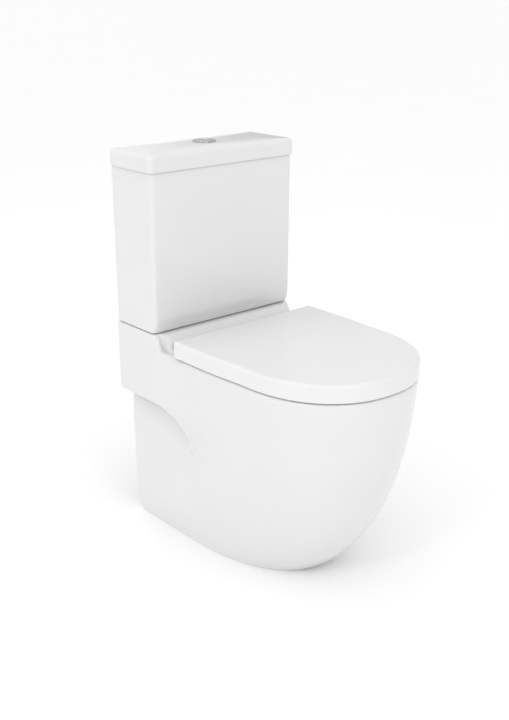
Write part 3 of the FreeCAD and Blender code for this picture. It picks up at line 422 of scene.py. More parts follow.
# Bowl, box rim and waterway
BOWL_CENTRE, BOWL_LENGTH, BOWL_WIDTH = 392.0, 152.0, 124.0
SUMP_CENTRE, SUMP_LENGTH, SUMP_WIDTH, SUMP_FLOOR = 296.0, 38.0, 36.0, 130.0
BOWL_FOOT = 208.0
BOWL_SPREAD = 0.8
RIM_LIP, RIM_FACE, RIM_LEAN = 7.0, 34.0, 2.0
RIM_FACE_STOPS = (12, 19, 26)       # below the rim's top
UNDERCUT = 11.0                     # how far the box rim overhangs the bowl's wall
UNDERCUT_FADES = 300
UNDERCUT_ROLL = ((-3, -2.0), (-1, -1.5), (0, 0.5), (0.5, 5.0), (2, 8.5), (5, 10.5), (10, UNDERCUT))
TURN_RADIUS, TRAP_RADIUS, TRAP_WALL = 12.0, 30.0, 8.0
TRAP_LEVEL = BOWL_FOOT - TURN_RADIUS - TRAP_RADIUS
TRAP_RUNS = ((3, 0, 0), (0, -80, 50), (25, 0, 0), (0, 160, 38),    # length, or turn and radius
             (20.8, 0, 0), (0, -80, 38), (37, 0, 0))
OUTLET_RADIUS, OUTLET_BORE = 51.0, 42.0

# Under the deck
BOSS_BORE, BOSS_RADIUS, BOSS_FOOT = 34, 54, 374
BOSS_ROUND = 4
DUCT_HALF, DUCT_LOW, DUCT_HIGH = 42, 30, 6      # low and high are below the rim's top
LUG_NEAR, LUG_FAR, LUG_HALF_LENGTH, LUG_FOOT, LUG_HEAD = 114.0, 128.0, 13, 16, 42

# Spacing of the mesh: columns stand at fixed depths behind the split, closest across the steps
SPLIT = 300.0
DEPTHS = np.concatenate([np.linspace(0, 110, 11)[:-1], np.linspace(110, 240, 66)[:-1],
                         np.linspace(240, SPLIT, 9)])
BELOW = np.linspace(0, 1, 14)[:-1]          # below the crease
ABOVE = np.linspace(0, 1, 38) ** 1.8        # above it, closest near it
NOSE_COLUMNS = 72
DECK_COLUMNS = 49


def pedestal_half(level):
    """Half width of the recessed back at a level."""
    rise = np.clip(np.asarray(level, float) / PEDESTAL_BLEND, 0, 1)
    return FOOT_HALF + (PEDESTAL_HALF - FOOT_HALF) * (1 - (1 - rise) ** 2)


def bulge(rise, inner, outer):
    """Climb from 0 to 1 that is steep at first and level at the top."""
    return (1 - (1 - rise) ** inner) ** outer


def girth(level):
    """Side half width, where the nose starts and how far it reaches, at a level."""
    rise = np.clip(np.asarray(level, float) / RIM_TOP, 0, 1)
    side = FOOT_HALF + (RIM_HALF - FOOT_HALF) * bulge(rise, *SIDE_BULGE)
    straight = FOOT_STRAIGHT + (RIM_STRAIGHT - FOOT_STRAIGHT) * rise
    reach = FOOT_REACH + (PAN_REACH - FOOT_REACH) * bulge(rise, *REACH_BULGE)
    return side, straight, reach


def body_half(depth, level, inset):
    """Half width of the pan as if it had no recess."""
    side, straight, reach = girth(level)
    back = pedestal_half(level)
    back = back + (PAN_HALF - back) * smooth(level, *DECK_FLARE)
    flank = back + (side - back) * smooth(depth / straight, FLANK_START, 1)
    ahead = np.clip((depth - straight) / (reach - inset - straight), 0, 1)
    nose = (side - inset) * (1 - ahead ** NOSE_POWER) ** (1 / NOSE_POWER)
    return np.where(depth < straight, flank - inset, nose)


def crease(depth):
    """Level and steepness of the recess's edge at a distance from the wall."""
    past = np.exp((depth - CREASE_BEND) / CREASE_EASE)
    level = DECK_UNDER - CREASE_SLOPE * CREASE_EASE * np.log1p(past)
    return level, CREASE_SLOPE * past / (1 + past)


def outer_half(depth, level, inset):
    """Half width with the recess under the deck: its crease sweeps down and fades into the side."""
    edge, slope = crease(depth)
    outside = (level - edge) / np.hypot(1, slope) - inset
    width = CREASE_ROLL + (CREASE_ROLL_LOW - CREASE_ROLL) * smooth(depth, *CREASE_SOFTENS)
    roll = np.clip(outside / width, 0, 1)
    share = np.sqrt(1 - (1 - roll) ** 2)
    strength = smooth(level, CREASE_GONE, CREASE_FULL)
    wall = pedestal_half(level) - inset
    return wall + (body_half(depth, level, inset) - wall) * (1 - strength * (1 - share))


def crease_level(depth, inset):
    """Level that parts the closer rows from the wider ones: the crease, or where it has faded."""
    return max(crease(depth)[0], CREASE_GONE) + inset


def edge_radius(depth, inset):
    """Radius of the top edge: tight under the cistern, full beside the steps, small round the rim."""
    if inset:
        return EDGE_INSIDE
    fuller = (EDGE_FULL - EDGE_TIGHT) * float(smooth(depth, *EDGE_WIDENS))
    smaller = (EDGE_FULL - EDGE_RIM) * float(smooth(depth, *EDGE_NARROWS))
    return EDGE_TIGHT + fuller - smaller


def side_top(depth):
    """Level of the top at the pan's side, where the steps have faded out."""
    return DECK_TOP - STEP_DOWN * smooth(depth, *SIDE_DROP)


def step_top(depth):
    """Level of the top away from the sides: deck, slope, ledge, drop into the trough, rim."""
    corners = [DECK_FRONT, LEDGE_FRONT, LEDGE_FOOT, TROUGH_FRONT]
    levels = [DECK_TOP, LEDGE_TOP, LEDGE_FOOT_TOP, RIM_TOP]
    shifts = np.linspace(-STEP_EASE, STEP_EASE, 9)
    return np.mean([np.interp(depth + shift, corners, levels) for shift in shifts], axis=0)


def rear_columns(inset, drop):
    """One side's columns behind the split, floor to top edge, and how far each level is pulled in."""
    columns = []
    for depth in DEPTHS:
        radius = edge_radius(depth, inset)
        top = side_top(depth) - drop
        low = crease_level(depth, inset)
        turn = arc()[1:]
        levels = np.concatenate([low * BELOW, low + (top - radius - low) * ABOVE,
                                 top - radius * (1 - np.sin(turn))])
        pull = np.zeros(len(levels))
        pull[-len(turn):] = radius * (1 - np.cos(turn))
        half = outer_half(depth, levels, inset) - pull
        columns.append(np.column_stack([half, np.full(len(levels), depth), levels]))
    return np.array(columns), pull


def front_columns(levels, pull, inset):
    """One side's columns from the split to the tip, evenly spaced round each level."""
    rows = []
    for level, back in zip(levels, pull + inset):
        side, straight, reach = girth(level)
        start = max((SPLIT - straight) / (reach - back - straight), 0.0)
        angles = np.linspace(math.asin(start ** (NOSE_POWER / 2)), math.pi / 2, 240)
        nose = nose_curve(side - back, straight, reach - back, angles)
        if straight > SPLIT:
            flank = np.linspace(SPLIT, straight, 24)[:-1]
            nose = np.concatenate([np.column_stack([body_half(flank, level, back), flank]), nose])
        run = np.concatenate([[0], np.cumsum(np.hypot(*np.diff(nose, axis=0).T))])
        marks = np.linspace(0, run[-1], NOSE_COLUMNS)
        even = np.column_stack([np.interp(marks, run, nose[:, 0]), np.interp(marks, run, nose[:, 1])])
        rows.append(at_level(even, level))
    return np.swapaxes(np.array(rows), 0, 1)


def pan_side(inset, drop):
    """All columns of one skin, from the rear corner on +X round the nose to the other rear corner."""
    rear, pull = rear_columns(inset, drop)
    front = front_columns(rear[-1][:, 2], pull, inset)
    right = np.concatenate([rear, front[1:]])
    left = right[-2::-1] * (-1, 1, 1)
    return np.concatenate([right, left])


def deck_columns():
    """Number of columns from the back to the end of the deck."""
    return np.searchsorted(DEPTHS, DECK_END - 0.5)


def deck_rows(columns, drop):
    """Rows across the top from the back to the end of the deck."""
    rows = []
    for column in columns[:deck_columns() + 1]:
        edge, depth, _ = column[-1]
        half = edge * np.sin(np.linspace(math.pi / 2, -math.pi / 2, DECK_COLUMNS))
        inboard = smooth(edge - np.abs(half), 0, STEP_INBOARD)
        level = side_top(depth) * (1 - inboard) + step_top(depth) * inboard - drop
        rows.append(np.column_stack([half, np.full(len(half), depth), level]))
    return rows


def rim_loop(columns, last_row):
    """Closed loop round the rim's outer edge and along the end of the deck."""
    count = deck_columns()
    edge = columns[count:len(columns) - count, -1]
    return np.concatenate([edge, last_row[-2:0:-1]])


def bowl_loop(angle, level, grow):
    """Ellipse of the bowl at a level."""
    rise = smooth(level, SUMP_FLOOR, RIM_TOP) ** BOWL_SPREAD
    length = SUMP_LENGTH + (BOWL_LENGTH - SUMP_LENGTH) * rise + grow
    width = SUMP_WIDTH + (BOWL_WIDTH - SUMP_WIDTH) * rise + grow
    centre = SUMP_CENTRE + (BOWL_CENTRE - SUMP_CENTRE) * rise
    return at_level(np.column_stack([width * np.sin(angle), centre + length * np.cos(angle)]), level)


def trap_start():
    """Distance from the wall where the waterway has turned level, behind the bowl's foot."""
    return bowl_loop(np.array([math.pi]), BOWL_FOOT, 0)[0][1] - TURN_RADIUS


def trap_path():
    """Stations of the trapway: depth, level, heading and how much of the last run is done."""
    depth, level, heading = trap_start(), TRAP_LEVEL, math.pi
    stations = []
    for number, (run, turn, radius) in enumerate(TRAP_RUNS):
        steps = 3 if run else 9
        for step in range(1, steps + 1):
            bend = math.radians(turn) / steps
            distance = run / steps if run else 2 * radius * math.sin(abs(bend) / 2)
            heading += bend / 2
            depth += distance * math.cos(heading)
            level += distance * math.sin(heading)
            heading += bend / 2
            last = step / steps if number == len(TRAP_RUNS) - 1 else 0.0
            stations.append((depth, level, heading, last))
    return stations


def waterway(angle, wall):
    """Loops from the foot of the bowl through the trap to the outlet; wall is the china's thickness."""
    foot = bowl_loop(angle, BOWL_FOOT, 0)
    length, width = np.ptp(foot[:, 1]), np.ptp(foot[:, 0]) / 2
    rows = []
    for share in np.linspace(0, 1, 15)[1:]:
        turn = share * math.pi / 2
        span = 2 * TRAP_RADIUS + (length - 2 * TRAP_RADIUS) * (1 - share) ** 3
        half = TRAP_RADIUS + (width - TRAP_RADIUS) * (1 - share) ** 2 + wall
        middle = TURN_RADIUS + span / 2
        out = middle + (span / 2 + wall) * np.cos(angle)
        rows.append(np.column_stack([half * np.sin(angle), trap_start() + out * math.cos(turn),
                                     BOWL_FOOT - out * math.sin(turn)]))
    for depth, level, heading, last in trap_path():
        if wall:
            outside = TRAP_RADIUS + wall
            radius = outside + (OUTLET_RADIUS - outside) * float(smooth(last, 0, 0.2))
        else:
            radius = TRAP_RADIUS + (OUTLET_BORE - TRAP_RADIUS) * float(smooth(last, 0.3, 0.9))
        out = radius * np.cos(angle)
        rows.append(np.column_stack([radius * np.sin(angle), depth - out * math.sin(heading),
                                     level + out * math.cos(heading)]))
    return rows


def basin(skin, rim, drop, wall):
    """Rim face, bowl and trapway as one run of loops; returns the outlet's loop."""
    angle = np.arctan2(rim[:, 0] / BOWL_WIDTH, (rim[:, 1] - BOWL_CENTRE) / BOWL_LENGTH)
    top = RIM_TOP - drop
    if wall:
        mouth = bowl_loop(angle, top, wall)
        rows = [rim + (mouth - rim) * share for share in np.linspace(0, 1, 6)]
        profile = [(level, wall) for level in np.linspace(top - 6, BOWL_FOOT, 26)]
    else:
        mouth = bowl_loop(angle, top, RIM_LIP)
        rows = [rim + (mouth - rim) * share for share in np.linspace(0, 1, 8)]
        profile = rim_profile(top)
    rows += [bowl_loop(angle, level, grow) for level, grow in profile]
    rows += waterway(angle, TRAP_WALL if wall else 0)
    for row in rows:
        row[:, 2] = np.minimum(row[:, 2], top)
    skin.patch(rows, loop=True)
    return rows[-1]


def rim_profile(top):
    """Levels and growth of the bowl: rolled lip, rim face, undercut and the wall down to the foot."""
    face = top - RIM_FACE
    profile = [(top - RIM_LIP * (1 - math.cos(a)), RIM_LIP * (1 - math.sin(a))) for a in arc(7)[1:]]
    for stop in RIM_FACE_STOPS:
        profile.append((RIM_TOP - stop, -RIM_LEAN * (top - RIM_LIP - RIM_TOP + stop) / RIM_FACE))
    profile += [(face - below, grow) for below, grow in UNDERCUT_ROLL]
    for level in np.linspace(face - 18, BOWL_FOOT, 26):
        profile.append((level, UNDERCUT * float(smooth(level, UNDERCUT_FADES, face - 10))))
    return profile


def pan():
    """One china casting: an outer and an inner skin, joined along the back, the foot and the outlet."""
    skin = Skin()
    ends = []
    faces = {}
    for name, inset, drop, wall in (("outer", 0.0, 0.0, 0.0), ("inner", CHINA, SLAB, CHINA)):
        columns = pan_side(inset, drop)
        rows = deck_rows(columns, drop)
        skin.patch(columns)
        skin.patch(rows)
        ends.append(basin(skin, rim_loop(columns, rows[-1]), drop, wall))
        faces[name] = (columns, rows)
    outer, inner = faces["outer"], faces["inner"]
    skin.patch([outer[0][:, 0], inner[0][:, 0]])
    skin.patch([outer[0][0], inner[0][0]])
    skin.patch([outer[0][-1], inner[0][-1]])
    skin.patch([outer[1][0], inner[1][0]])
    skin.patch(ends, loop=True)
    fittings(skin)
    piece("pan_china", skin, "china", "pan_and_cistern", ["pan", "bowl_and_trap"])


def fittings(skin):
    """Under the deck: water inlet boss, duct to the bowl and the two floor fixing lugs."""
    inside = DECK_TOP - SLAB + 2
    depth = middle_depth("flush_valve_base")
    outer = BOSS_RADIUS + BOSS_ROUND
    skin.lathe([(BOSS_BORE, BOSS_FOOT + 2), (BOSS_BORE + 2, BOSS_FOOT), (BOSS_RADIUS, BOSS_FOOT),
                (outer, BOSS_FOOT + BOSS_ROUND), (outer, inside), (BOSS_BORE, inside)], (0, depth, 0))
    section = slab_loop(DUCT_HALF, RIM_TOP - DUCT_LOW, RIM_TOP - DUCT_HIGH, 0, 8, 8, sides=2, steps=5)
    stations = np.linspace(depth + BOSS_RADIUS - 2, BOWL_CENTRE - BOWL_LENGTH - 6, 12)
    skin.tube([np.column_stack([section[:, 0], np.full(len(section), along), section[:, 1]])
               for along in stations])
    depth = middle_depth("bracket_screws")
    back, front = depth - LUG_HALF_LENGTH, depth + LUG_HALF_LENGTH
    for near, far in both_sides(LUG_NEAR, LUG_FAR):
        skin.block((near, back, LUG_FOOT), (far, front, LUG_HEAD), 3)


# ---------------------------------------------------------------- cistern and its lid

TANK_LOW, TANK_HIGH = box_of("cistern")
TANK_HALF, TANK_FRONT, TANK_TOP = TANK_HIGH
TANK_BASE = TANK_LOW[2]
TANK_ROLL = 30.0
TANK_FRONT_LOW, TANK_FRONT_BASE = TANK_FRONT - 2.5, TANK_FRONT - 9.6
TANK_WALL, TANK_FLOOR, TANK_FLOOR_ROLL = 9.0, 10.0, 6
TANK_UNDER_ROLL, TANK_LIP = 2.0, 1.5
TANK_CORNER, TANK_REAR_CORNER = 9.0, 3.0
TANK_SWELL = 2.2                    # how fast the front fills out above the base
COVER_LOW, COVER_HIGH = box_of("cistern_lid")
COVER_HALF, COVER_FRONT, COVER_TOP = COVER_HIGH
COVER_BASE = TANK_TOP + 0.3
COVER_CROWN, COVER_EDGE, COVER_WALL = 3.0, 9.0, 8.0
COVER_CORNER, COVER_REAR_CORNER = 10, 6
COVER_HOLE = 20.0
COVER_RIB_NEAR, COVER_RIB_FAR, COVER_RIB_END = 157.0, 163.0, 25


def tank_loop(level, inset):
    """Outline of the tank: its front is pulled back round the base and leans a little."""
    rise = np.clip((level - TANK_BASE) / TANK_ROLL, 0, 1)
    climb = max(level - TANK_BASE - TANK_ROLL, 0.0) / (TANK_TOP - TANK_BASE - TANK_ROLL)
    front = TANK_FRONT_BASE + (TANK_FRONT_LOW - TANK_FRONT_BASE) * (1 - (1 - rise) ** TANK_SWELL)
    front += (TANK_FRONT - TANK_FRONT_LOW) * climb
    corner = max(TANK_CORNER - inset * 0.6, 3)
    return slab_loop(TANK_HALF - inset, inset, front - inset, level, corner, TANK_REAR_CORNER)


def cistern():
    """Open china tank, up the outside, over the lip and down the inside to the floor."""
    skin = Skin()
    floor_level, shoulder = TANK_BASE + TANK_FLOOR, TANK_BASE + TANK_ROLL
    rows = [tank_loop(TANK_BASE + down, pull) for down, pull in rolled(TANK_UNDER_ROLL)[::-1]]
    low = np.linspace(TANK_BASE + TANK_UNDER_ROLL, shoulder, 10)[1:]
    high = np.linspace(shoulder, TANK_TOP - TANK_LIP, 8)[1:]
    rows += [tank_loop(level, 0) for level in (*low, *high)]
    rows += [tank_loop(TANK_TOP - down, pull) for down, pull in rolled(TANK_LIP, 4)[1:]]
    rows.append(tank_loop(TANK_TOP, TANK_WALL - TANK_LIP))
    rows.append(tank_loop(TANK_TOP - TANK_LIP, TANK_WALL))
    inside = np.linspace(TANK_TOP - 8, floor_level + TANK_FLOOR_ROLL, 8)
    rows += [tank_loop(level, TANK_WALL) for level in inside]
    rows += [tank_loop(floor_level + down, TANK_WALL + pull)
             for down, pull in rolled(TANK_FLOOR_ROLL, 5)[1:]]
    skin.tube(rows)
    piece("cistern_china", skin, "china", "pan_and_cistern", ["cistern"])


def cover_loop(level, inset):
    """Outline of the cistern lid, its corners tighter as it is pulled in."""
    shrink = inset * 0.8
    return slab_loop(COVER_HALF - inset, inset, COVER_FRONT - inset, level,
                     max(COVER_CORNER - shrink, 2.5), max(COVER_REAR_CORNER - shrink, 2.0))


def cistern_lid():
    """Hollow china lid with a soft crown, a hole for the button and two locating ribs."""
    skin = Skin()
    centre, shoulder = middle_depth("button_nut"), COVER_TOP - COVER_CROWN
    rows = [cover_loop(COVER_BASE, COVER_WALL), cover_loop(COVER_BASE, 2.0),
            cover_loop(COVER_BASE + 0.6, 0.6), cover_loop(COVER_BASE + 2, 0)]
    side = np.linspace(COVER_BASE + 2, shoulder - COVER_EDGE, 5)[1:]
    rows += [cover_loop(level, 0) for level in side]
    rows += [cover_loop(shoulder - down, pull) for down, pull in rolled(COVER_EDGE, 10)[1:]]
    edge = rows[-1]
    angle = np.arctan2(edge[:, 1] - centre, edge[:, 0])
    hole = np.column_stack([COVER_HOLE * np.cos(angle), centre + COVER_HOLE * np.sin(angle)])
    mouth = at_level(hole, shoulder)
    for share in np.linspace(0, 1, 16)[1:]:
        row = edge + (mouth - edge) * share
        row[:, 2] = shoulder + COVER_CROWN * (1 - (1 - share) ** 2)
        rows.append(row)
    ceiling = cover_loop(shoulder - COVER_WALL, COVER_WALL)
    for share in np.linspace(0, 1, 6):
        row = mouth + (ceiling - mouth) * share
        row[:, 2] = COVER_TOP - COVER_WALL - COVER_CROWN * share
        rows.append(row)
    skin.patch(rows, loop=True, ring=True)
    for near, far in both_sides(COVER_RIB_NEAR, COVER_RIB_FAR):
        skin.block((near, COVER_RIB_END, COVER_LOW[2]),
                   (far, COVER_FRONT - COVER_RIB_END, shoulder - COVER_WALL + 1))
    piece("cistern_lid_china", skin, "china", "tank_cover", ["cistern_lid"])


# ---------------------------------------------------------------- buttons

RING_BORE, RING_GUIDE, RING_ROLL = 17.7, 19.4, 1.6
CUP_FLOOR = 2
BUTTON_ROLL, BUTTON_DOME = 1.2, 0.5


def button_ring():
    """Chrome ring of the flush button: a rolled flange and the cup that guides both halves."""
    skin = Skin()
    low, high = box_of("button_bezel")
    radius, foot, top = high[0], low[2], high[2]
    seat = COVER_TOP + 0.2
    profile = [(radius - 0.2, seat), (radius, seat + 0.5)]
    profile += [(radius - pull, top - down) for down, pull in rolled(RING_ROLL)[1:]]
    profile += [(RING_BORE + 1.6, top), (RING_BORE + 0.8, top - 0.25), (RING_BORE + 0.2, top - 0.9),
                (RING_BORE, top - 1.8), (RING_BORE, foot + CUP_FLOOR), (1, foot + CUP_FLOOR), (1, foot),
                (RING_GUIDE - 0.2, foot), (RING_GUIDE, foot + 0.3), (RING_GUIDE, seat)]
    skin.lathe(profile, (0, middle_depth("button_bezel"), 0), steps=96)
    piece("button_ring_chrome", skin, "chrome", "tank_cover", ["button_bezel"])


def button(kind, side):
    """One half of the flush button: a disc cut short of the split, with a domed, rolled top."""
    skin = Skin()
    node = f"{kind}_flush_button"
    low, high = box_of(node)
    split = high[0] if side < 0 else low[0]
    radius = -low[0] if side < 0 else high[0]
    reach = math.acos(split / radius)
    if side < 0:
        angles = np.linspace(reach, 2 * math.pi - reach, 56)
    else:
        angles = np.linspace(-reach, reach, 44)
    curve = np.column_stack([radius * np.cos(angles), radius * np.sin(angles)])
    loop = np.concatenate([curve, between(curve[-1], curve[0], 14)])
    inner = loop.mean(axis=0)
    span = np.hypot(*(loop - inner).T)[:, None]
    shoulder = high[2] - BUTTON_DOME
    steps = [(low[2], 0.0), (shoulder - BUTTON_ROLL, 0.0)]
    steps += [(shoulder - down, pull) for down, pull in rolled(BUTTON_ROLL)[1:]]
    rows = [at_level(inner + (loop - inner) * (1 - pull / span), level) for level, pull in steps]
    last = rows[-1][:, :2]
    for share in (0.8, 0.6, 0.4, 0.2):
        rows.append(at_level(inner + (last - inner) * share, high[2] - BUTTON_DOME * share ** 2))
    skin.tube([row + (0, middle_depth(node), 0) for row in rows])
    piece(f"{kind}_button_chrome", skin, "chrome", f"{kind}_button", [node])


# ---------------------------------------------------------------- seat

SEAT_HALF, SEAT_REACH, LID_TOP = box_of("seat_lid")[1]
SEAT_SIDE_HALF, SEAT_STRAIGHT = 172.6, 390.0
LID_REAR, LID_BASE, LID_WALL, LID_DRAFT = 186.0, 414.6, 4.6, 1.2
LID_CORNER, LID_ROLL, LID_INSIDE_ROLL, LID_EDGE = 6.0, 5.0, 5, 0.8
LID_UNDER = LID_TOP - LID_WALL
LID_MIDDLE = (0.0, 395.0)
RING_REAR, RING_GAP, RING_BASE, RING_TOP = 224.0, 7.5, 418.0, 436.0
RING_CORNER, RING_EDGE, RING_FOOT_ROLL = 14, 8.0, 1.5
RING_DISH = 3.5                     # the ring's top falls this far towards the opening
OPENING_HALF, OPENING_LENGTH, OPENING_ROLL = 108, 128, 9
HINGE_DEPTH = middle_depth("hinge_pins")
HINGE_LEVEL = (box_of("hinge_pins")[0][2] + box_of("hinge_pins")[1][2]) / 2
KNUCKLE, KNUCKLE_EDGE, PIN_BORE = 6.6, 0.6, 4.06
LID_EYES, RING_EYES = (103.0, 114.0), (92.0, 102.0)
RING_WEB = 36
NOTCH, NOTCH_DEPTH = (62.0, 117.0), 14


def seat_loop(level, inset, rear, corner):
    """D-shaped outline of the seat at a level, from the middle of the rear edge round by +X."""
    first, last = NOTCH
    edge = np.concatenate([np.linspace(0, first - 0.1, 12), [first + 0.1],
                           np.linspace(first + 4, last - 4, 8), [last - 0.1, last + 0.1],
                           np.linspace(last + 6, SEAT_HALF - inset - corner, 6)])
    back = np.column_stack([edge, np.full(len(edge), rear)])
    turn = arc(8)[1:]
    bend = np.column_stack([SEAT_HALF - inset - corner * (1 - np.sin(turn)),
                            rear + corner * (1 - np.cos(turn))])
    flank = np.linspace(rear + corner, SEAT_STRAIGHT, 26)[1:-1]
    widening = smooth(flank, (rear + SEAT_STRAIGHT) / 2, SEAT_STRAIGHT)
    half = SEAT_HALF + (SEAT_SIDE_HALF - SEAT_HALF) * widening - inset
    side = np.column_stack([half, flank])
    nose = nose_curve(SEAT_SIDE_HALF - inset, SEAT_STRAIGHT, SEAT_REACH - inset, arc(60))
    right = np.concatenate([back, bend, side, nose])
    return at_level(np.concatenate([right, right[-2:0:-1] * (-1, 1)]), level)


def toward(row, centre, share, level):
    """The loop drawn in towards a centre."""
    return at_level(np.array(centre) + (row[:, :2] - centre) * share, level)


def lid_outside():
    """Loops of the lid from its lower edge up the side, over the rolled edge and across the top."""
    lip = LID_WALL - LID_EDGE
    rows = [seat_loop(LID_BASE, lip, LID_REAR + lip, LID_CORNER - 4),
            seat_loop(LID_BASE, LID_EDGE, LID_REAR + LID_EDGE, LID_CORNER),
            seat_loop(LID_BASE + LID_EDGE, 0.0, LID_REAR, LID_CORNER)]
    for level in np.linspace(LID_BASE + 3, LID_TOP - LID_ROLL, 8):
        draft = LID_DRAFT * ((level - LID_BASE) / (LID_TOP - LID_BASE)) ** 2
        rows.append(seat_loop(level, draft, LID_REAR, LID_CORNER))
    for down, pull in rolled(LID_ROLL, 10)[1:]:
        corner = max(LID_CORNER - pull, 4)
        rows.append(seat_loop(LID_TOP - down, LID_DRAFT + pull, LID_REAR + pull, corner))
    edge, shares = rows[-1], (0.97, 0.9, 0.75, 0.55, 0.35, 0.15)
    return rows + [toward(edge, LID_MIDDLE, share, LID_TOP) for share in shares]


def lid_inside():
    """Loops of the lid's inside, from its lower edge up to the middle of the underside."""
    rear, corner = LID_REAR + LID_WALL, LID_CORNER - 4
    inset = LID_WALL + LID_DRAFT
    rows = [seat_loop(LID_BASE + LID_EDGE, LID_WALL, rear, corner),
            seat_loop(LID_UNDER - LID_INSIDE_ROLL, inset, rear, corner)]
    for down, pull in rolled(LID_INSIDE_ROLL, 5)[1:]:
        rows.append(seat_loop(LID_UNDER - down, inset + pull, rear + pull, corner))
    edge = rows[-1]
    return rows + [toward(edge, LID_MIDDLE, share, LID_UNDER) for share in (0.9, 0.6, 0.3)]


def seat_lid():
    """Wrap-over lid: thin shell with a rolled top edge, notched at the back for the hinge posts."""
    skin = Skin()
    rows = lid_inside()[::-1] + lid_outside()
    for row in rows:
        across = np.abs(row[:, 0])
        notched = (across > NOTCH[0]) & (across < NOTCH[1]) & (row[:, 1] < LID_REAR + NOTCH_DEPTH)
        row[notched, 2] = np.maximum(row[notched, 2], LID_UNDER)
    skin.tube(rows)
    for near, far in both_sides(*LID_EYES):
        knuckle(skin, near, far)
        skin.block((near, HINGE_DEPTH - KNUCKLE, HINGE_LEVEL + 2),
                   (far, HINGE_DEPTH + KNUCKLE, LID_UNDER + 0.5))
    piece("seat_lid_shell", skin, "seat_plastic", "lid", ["seat_lid"])


def knuckle(skin, near, far):
    """Hinge eye between two places across the toilet."""
    shoulder = KNUCKLE - KNUCKLE_EDGE
    profile = [(PIN_BORE, near), (shoulder, near), (KNUCKLE, near + KNUCKLE_EDGE),
               (KNUCKLE, far - KNUCKLE_EDGE), (shoulder, far), (PIN_BORE, far)]
    skin.lathe(profile, (0, HINGE_DEPTH, HINGE_LEVEL), axis="x", steps=40)


def opening_loop(angle, grow, level):
    """Oval of the seat ring's opening."""
    return at_level(np.column_stack([(OPENING_HALF + grow) * np.sin(angle),
                                     BOWL_CENTRE + (OPENING_LENGTH + grow) * np.cos(angle)]), level)


def seat_ring():
    """Seat ring: D outline, oval opening, rounded and slightly dished top, flat underside."""
    skin = Skin()
    outer = seat_loop(RING_BASE, RING_GAP, RING_REAR, RING_CORNER)
    angle = np.arctan2(outer[:, 0] / (OPENING_HALF + 4),
                       (outer[:, 1] - BOWL_CENTRE) / (OPENING_LENGTH + 4))
    low, drop = RING_BASE, RING_TOP - RING_DISH
    rows = [seat_loop(RING_BASE + down, RING_GAP + pull, RING_REAR + pull, RING_CORNER)
            for down, pull in rolled(RING_FOOT_ROLL, 4)[::-1]]
    rows += [seat_loop(RING_TOP - down, RING_GAP + pull, RING_REAR + pull, RING_CORNER)
             for down, pull in rolled(RING_EDGE, 10)]
    edge, mouth = rows[-1], opening_loop(angle, OPENING_ROLL, drop)
    for share in np.linspace(0, 1, 10)[1:]:
        row = edge + (mouth - edge) * share
        row[:, 2] = RING_TOP - RING_DISH * share ** 2
        rows.append(row)
    rows += [opening_loop(angle, down, drop - pull) for down, pull in rolled(OPENING_ROLL, 8)[1:]]
    for share in (0.6, 0.2, 0.0):
        rows.append(opening_loop(angle, share - 1, low + (drop - OPENING_ROLL - low) * share))
    skin.patch(rows, loop=True, ring=True)
    for near, far in both_sides(*RING_EYES):
        knuckle(skin, near, far)
        skin.block((near, HINGE_DEPTH, HINGE_LEVEL - KNUCKLE),
                   (far, HINGE_DEPTH + RING_WEB, HINGE_LEVEL + 0.4))
    piece("seat_ring_moulded", skin, "seat_plastic", "ring", ["seat_ring"])


pan()
cistern()
cistern_lid()
button_ring()
button("full", -1)
button("half", 1)
seat_ring()
seat_lid()


# ---------------------------------------------------------------- studio

CAMERA_PLACE = Vector((-1.2705, -1.3949, 1.0907))
CAMERA_TURN = math.radians(-40.82)
CAMERA_TILT = math.radians(20.211)
FOCAL_PIXELS = 1039.55
LONG_SIDE = 720
SENSOR = 36.0
FLOOR_SIDE = 60.0
LEFT_LIGHT, RIGHT_LIGHT = 1.24, 0.82            # strength of the surroundings from -X and from +X
SHADE_HEADING = (0.7, 0.7, 0.15)                # a soft darker patch behind, on the right
SHADE_EDGE, SHADE_MIDDLE, SHADE_LIGHT = 0.982, 0.999, 0.5


def camera():
    """Camera at the photograph's angle."""
    data = bpy.data.cameras.new("camera")
    data.sensor_width = SENSOR
    data.lens = FOCAL_PIXELS * SENSOR / LONG_SIDE
    obj = bpy.data.objects.new("camera", data)
    bpy.context.scene.collection.objects.link(obj)
    level = math.cos(CAMERA_TILT)
    back = Vector((math.sin(CAMERA_TURN) * level, -math.cos(CAMERA_TURN) * level,
                   math.sin(CAMERA_TILT)))
    obj.location = CAMERA_PLACE
    obj.rotation_mode = "QUATERNION"
    obj.rotation_quaternion = back.to_track_quat("Z", "Y")
    bpy.context.scene.camera = obj


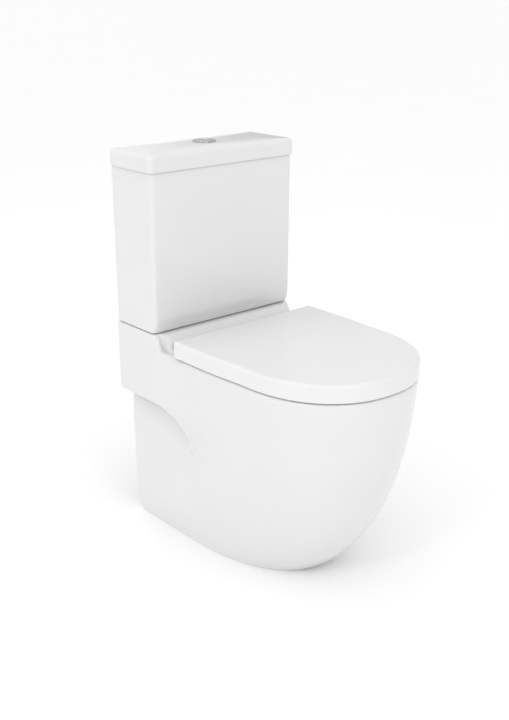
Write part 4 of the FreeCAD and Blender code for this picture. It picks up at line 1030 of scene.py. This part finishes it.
def floor():
    """Wide pale floor."""
    mesh = bpy.data.meshes.new("floor")
    side = FLOOR_SIDE
    corners = [(-side, -side, 0), (side, -side, 0), (side, side, 0), (-side, side, 0)]
    mesh.from_pydata(corners, [], [(0, 1, 2, 3)])
    obj = bpy.data.objects.new("floor", mesh)
    bpy.context.scene.collection.objects.link(obj)
    look = Look("floor", Specular_IOR_Level=0.1)
    look.colour(look.blend(look.noise(2, 2), (0.94, 0.94, 0.94), (0.96, 0.96, 0.96)))
    look.rough(look.range(look.noise(8, 2), 0.3, 0.7, 0.75, 0.85))
    mesh.materials.append(look.material)


def lamp(name, place, target, width, height, power):
    """Soft rectangular lamp aimed at a point."""
    data = bpy.data.lights.new(name, "AREA")
    data.shape = "RECTANGLE"
    data.size = width
    data.size_y = height
    data.energy = power
    obj = bpy.data.objects.new(name, data)
    bpy.context.scene.collection.objects.link(obj)
    obj.location = place
    obj.rotation_mode = "QUATERNION"
    obj.rotation_quaternion = (Vector(target) - Vector(place)).to_track_quat("-Z", "Y")


def by_heading(tree, direction, low, high, to_low, to_high):
    """Light of the surroundings as a function of how near a direction it comes from."""
    dot = tree.nodes.new("ShaderNodeVectorMath")
    dot.operation = "DOT_PRODUCT"
    dot.inputs[1].default_value = Vector(direction).normalized()
    heading = tree.nodes.new("ShaderNodeTexCoord").outputs["Generated"]
    tree.links.new(heading, dot.inputs[0])
    return map_range(tree, dot.outputs["Value"], low, high, to_low, to_high)


def studio():
    """White surroundings, stronger on the left and with one soft darker patch, and three lamps."""
    world = bpy.data.worlds.new("studio")
    world.use_nodes = True
    tree = world.node_tree
    across = by_heading(tree, (1, 0, 0), -1.0, 1.0, LEFT_LIGHT, RIGHT_LIGHT)
    shade = by_heading(tree, SHADE_HEADING, SHADE_EDGE, SHADE_MIDDLE, 1.0, SHADE_LIGHT)
    strength = tree.nodes.new("ShaderNodeMath")
    strength.operation = "MULTIPLY"
    tree.links.new(across, strength.inputs[0])
    tree.links.new(shade, strength.inputs[1])
    background = tree.nodes["Background"]
    background.inputs["Color"].default_value = (1.0, 1.0, 1.0, 1.0)
    tree.links.new(strength.outputs["Value"], background.inputs["Strength"])
    bpy.context.scene.world = world
    bpy.context.scene.view_settings.view_transform = "Standard"
    middle = (0, 0, 0.4)
    lamp("key", (-2.6, -0.8, 2.6), middle, 0.5, 0.5, 9)
    lamp("top", (0.3, 0.9, 3.0), middle, 1.2, 0.3, 4)
    lamp("front", (-0.9, -3.2, 2.2), (0, 0.2, 0.6), 1.2, 1.2, 15)


camera()
floor()
studio()
